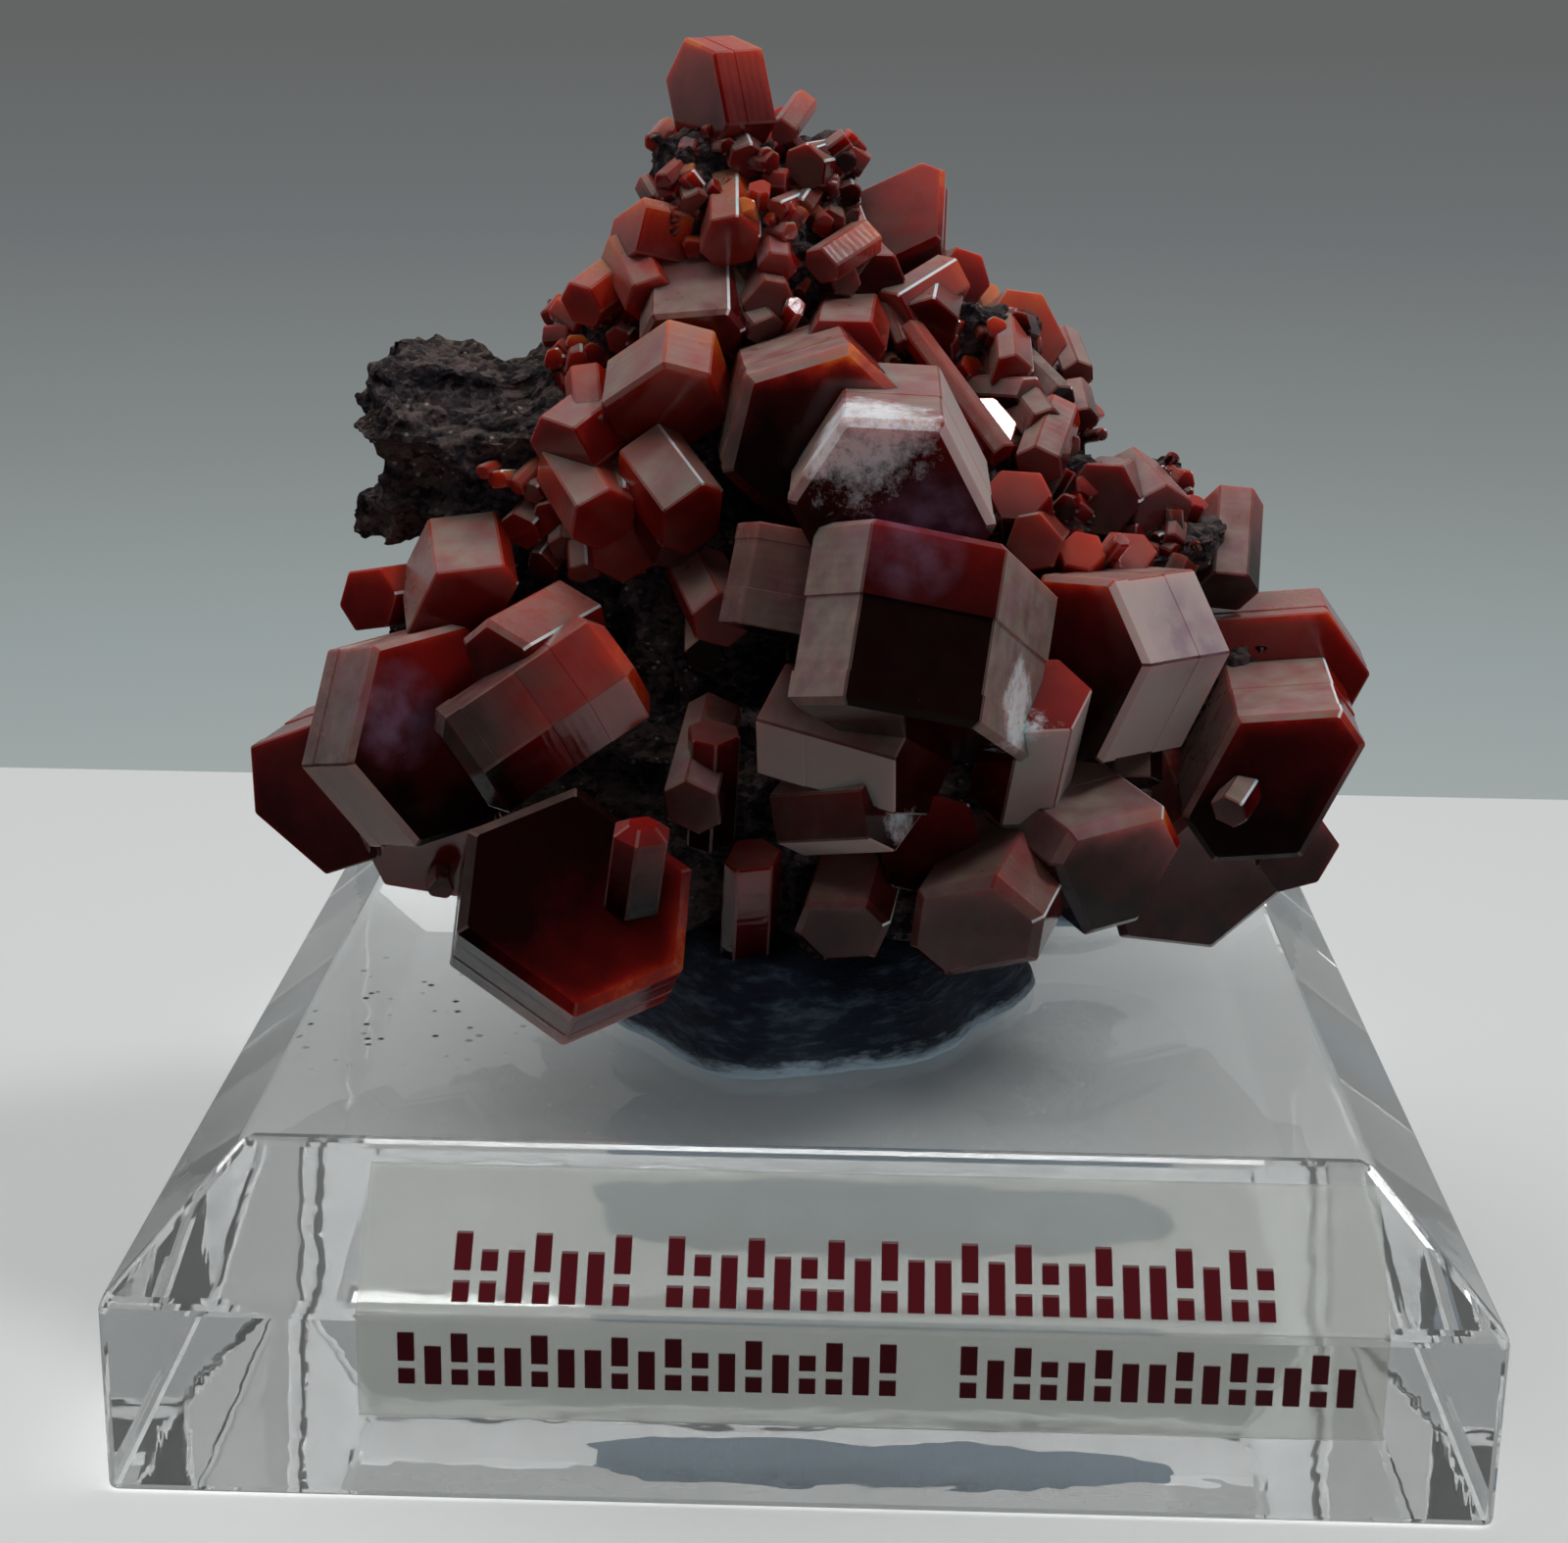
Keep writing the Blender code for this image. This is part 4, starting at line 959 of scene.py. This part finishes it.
def putty_stuff():
    """Near-black slate-blue putty, streaked, with a pale rim where it thins out on the block."""
    g = Graph("putty")
    place = g.object_mm()
    low = g.split(place)[2]
    streaks = g.noise(g.vector_math("MULTIPLY", place, (1.0, 0.35, 4.0)), 1.6, 6.0, 0.7)
    colour = g.ramp(streaks, [(0.3, (0.006, 0.009, 0.018)), (0.5, (0.016, 0.025, 0.045)),
                              (0.75, (0.12, 0.17, 0.23))])
    edge = g.span(g.math("ADD", low, g.math("MULTIPLY", streaks, 1.6)), 13.6, 13.2, 0.0, 1.0)
    bonded = g.span(low, BLOCK_HEIGHT + 0.05, BLOCK_HEIGHT)
    pale = g.mix(bonded, (0.42, 0.56, 0.66, 1.0), (0.36, 0.47, 0.56, 1.0))
    g.set("Base Color", g.mix(edge, colour, pale))
    g.set("Roughness", g.span(streaks, 0.3, 0.7, 0.55, 0.85))
    g.set("Normal", g.bump(streaks, 0.25, g.bump(g.noise(place, 0.3), 0.05)))
    return g.material


def acrylic():
    """Clear acrylic, with fine scratches and a slightly wavy polish."""
    g = Graph("acrylic", IOR=1.49)
    place = g.object_mm()
    dust = g.span(g.node("ShaderNodeTexVoronoi", {"Vector": place, "Scale": 1.15}).outputs[0], 0.20, 0.12)
    dust = g.math("MULTIPLY", dust, near_any(g, place, [((-17.2, -8.0, 12.1), 7.0)]))
    g.set("Base Color", g.mix(dust, (0.93, 0.945, 0.945, 1.0), (0.02, 0.02, 0.02, 1.0)))
    g.set("Transmission Weight", g.span(dust, 0.0, 1.0, 0.93, 0.0))
    long = g.vector_math("MULTIPLY", place, (0.15, 3.0, 3.0))
    scratches = g.noise(long, 0.6, 3.0, 0.7)
    smears = g.noise(place, 6.0, 5.0, 0.7)
    g.set("Roughness", g.math("ADD", g.span(scratches, 0.62, 0.8, 0.0, 0.10),
                              g.span(smears, 0.5, 0.75, 0.0, 0.06)))
    g.set("Normal", g.bump(g.noise(place, 5.0, 2.0, 0.5), 0.02))
    return g.material


def stroke_marks(g, across, height):
    """Rows of upright strokes, some of them taller than the rest and some broken."""
    place = g.math("DIVIDE", across, STROKE_PITCH)
    number = g.math("FLOOR", place)
    tall = g.math("GREATER_THAN", g.math("FRACT", g.math("MULTIPLY", number, 0.618)), 0.6)
    whole = g.math("GREATER_THAN", g.math("FRACT", g.math("MULTIPLY", number, 0.382)), 0.5)
    marks = 0.0
    for first, last, low, high in MARKS:
        short = low + STROKE_SHORT * (high - low)
        broken = g.math("LESS_THAN", g.math("ABSOLUTE", g.math("SUBTRACT", height, (low + short) / 2)),
                        STROKE_BREAK)
        inside = g.math("MAXIMUM", whole, g.math("SUBTRACT", 1.0, broken))
        for bound in (g.math("GREATER_THAN", number, first - 0.5), g.math("LESS_THAN", number, last + 0.5),
                      g.math("GREATER_THAN", height, low),
                      g.math("LESS_THAN", height, g.span(tall, 0.0, 1.0, short, high))):
            inside = g.math("MULTIPLY", inside, bound)
        marks = g.math("MAXIMUM", inside, marks)
    return g.math("MULTIPLY", marks, g.math("LESS_THAN", g.math("FRACT", place), STROKE_SHARE))


def film_stuff():
    """Clear film, slightly cloudy, with the dark red strokes printed on it."""
    g = Graph("film", IOR=1.45)
    place = g.object_mm()
    pale = g.mix(g.noise(place, 4.0), (0.80, 0.82, 0.78, 1.0), (0.90, 0.91, 0.88, 1.0))
    across, _, height = g.split(place)
    marks = stroke_marks(g, across, height)
    g.set("Base Color", g.mix(marks, pale, (0.12, 0.012, 0.018, 1.0)))
    g.set("Transmission Weight", g.span(marks, 0.0, 1.0, 0.85, 0.0))
    g.set("Roughness", g.span(g.noise(place, 0.8), 0.3, 0.7, 0.03, 0.09))
    return g.material


# ---------------------------------------------------------------- stage

def camera_frame():
    """Right, up and forward of the camera."""
    forward = Vector((math.sin(CAMERA_YAW) * math.cos(CAMERA_PITCH),
                      math.cos(CAMERA_YAW) * math.cos(CAMERA_PITCH), -math.sin(CAMERA_PITCH)))
    right = Vector((math.cos(CAMERA_YAW), -math.sin(CAMERA_YAW), 0.0))
    up = right.cross(forward)
    rolled = math.cos(CAMERA_ROLL) * right + math.sin(CAMERA_ROLL) * up
    return rolled, -math.sin(CAMERA_ROLL) * right + math.cos(CAMERA_ROLL) * up, forward


def build_camera():
    lens = bpy.data.cameras.new("camera")
    lens.lens = CAMERA_LENS
    lens.sensor_width = SENSOR_WIDTH
    lens.sensor_fit = "HORIZONTAL"
    lens.clip_start = 0.005
    lens.clip_end = 20.0
    camera = bpy.data.objects.new("camera", lens)
    right, up, forward = camera_frame()
    turn = Matrix((right, up, -forward)).transposed().to_4x4()
    camera.matrix_world = Matrix.Translation(Vector(CAMERA_AT) * MM) @ turn
    bpy.context.collection.objects.link(camera)
    bpy.context.scene.camera = camera


def build_light(name, at, aim, size, power, mirrored):
    lamp = bpy.data.lights.new(name, "AREA")
    lamp.shape = "RECTANGLE"
    lamp.size, lamp.size_y = size[0] * MM, size[1] * MM
    lamp.energy = power
    light = bpy.data.objects.new(name, lamp)
    light.location = Vector(at) * MM
    light.rotation_euler = (Vector(aim) - Vector(at)).to_track_quat("-Z", "Y").to_euler()
    light.visible_glossy = mirrored
    bpy.context.collection.objects.link(light)


def build_floor():
    """Plain pale table that ends behind the object, where the grey wall of the room begins."""
    bm = bmesh.new()
    for x, y in ((-600, -700), (600, -700), (600, 65), (-600, 65)):
        bm.verts.new((x * MM, y * MM, -0.05 * MM))
    bm.verts.ensure_lookup_table()
    bm.faces.new(bm.verts)
    floor = object_from(bm, "floor")
    g = Graph("table", Roughness=0.6)
    place = g.object_mm()
    # Painted shade: rays other than the camera's see the table at most half as bright, darker away from the
    # object and towards the front left; seen through the block it is about half as bright. The camera sees it
    # evenly pale.
    distance = g.measure("DISTANCE", place, (0.0, 20.0, 0.0))
    rays = g.node("ShaderNodeLightPath", {}).outputs
    lateral = g.measure("DOT_PRODUCT", place, (0.6, 0.8, 0.0))
    mirrored = g.math("MULTIPLY", g.span(distance, 68.0, 88.0, 0.5, 0.05),
                      g.span(lateral, -25.0, 15.0, 0.12, 1.0))
    clear = g.math("MULTIPLY", rays["Is Transmission Ray"], 0.52)
    shade = g.math("MAXIMUM", g.math("MAXIMUM", mirrored, clear), rays["Is Camera Ray"])
    g.set("Base Color", g.mix(shade, (0.0, 0.0, 0.0, 1.0), (0.86, 0.875, 0.87, 1.0)))
    floor.data.materials.append(g.material)


def build_world():
    """Soft grey room: pale wall, sides and ceiling, and dark behind the camera."""
    world = bpy.data.worlds.new("room")
    bpy.context.scene.world = world
    world.use_nodes = True
    g = Graph.__new__(Graph)
    g.tree = world.node_tree
    sky = g.tree.nodes["Background"]
    way = g.node("ShaderNodeTexCoord", {}).outputs["Generated"]
    _, deep, high = g.split(way)
    # Painted shade: the wall the camera sees darkens from the table up.
    wall = g.ramp(g.span(high, -0.30, -0.03), WALL_SHADES)
    room = g.ramp(g.span(high, -0.5, 1.0), ROOM_SHADES)
    front = g.span(deep, -0.55, -0.05, FRONT_SHARE, 1.0)
    room = g.mix(front, (0.0, 0.0, 0.0, 1.0), room)
    seen = g.node("ShaderNodeLightPath", {}).outputs["Is Camera Ray"]
    g.feed(sky.inputs[0], g.mix(seen, room, wall))


# ---------------------------------------------------------------- scene

def dress(piece, stuff, slot, *nodes):
    """Give a piece its material and its place in the frame."""
    piece.data.materials.clear()
    piece.data.materials.append(stuff)
    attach(piece, "root")
    if nodes:
        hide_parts(*nodes)


def main():
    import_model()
    bpy.context.scene.view_settings.view_transform = "Standard"
    build_camera()
    build_world()
    build_floor()
    build_light("ceiling", (-70, 40, 330), (0, 0, 10), (360, 300), 0.68, False)
    build_light("fill", (80, -290, 30), (0, -10, 28), (200, 120), 0.10, False)
    build_light("lamp", (215, -38, 350), (0, 0, 30), (70, 70), 0.36, True)
    crystal_stuff = vanadinite()
    rng = random.Random(LOOK_SEED)
    for name, crystals in GROUPS.items():
        piece = crystals_object(name.replace("crystal", "vanadinite"), crystals, rng)
        dress(piece, crystal_stuff, "vanadinite", name)
    rock = build_rock()
    surface = surface_of(rock)
    listed = small_crystals(surface) + crust_crystals(surface)
    dress(crystals_object("small_crystals", listed, rng), crystal_stuff, "vanadinite", "matrix")
    dress(crystals_object("druse", druse_crystals(surface), rng), crystal_stuff, "vanadinite", "matrix")
    dress(rock, rock_stuff(), "rock", "matrix")
    dress(build_putty(), putty_stuff(), "putty", "mounting_putty")
    for piece, stuff, slot, node in ((build_block(), acrylic(), "acrylic", "acrylic_block"),
                                     (build_film(), film_stuff(), "film", "label_film")):
        dress(piece, stuff, slot, node)
        piece.visible_shadow = False


main()
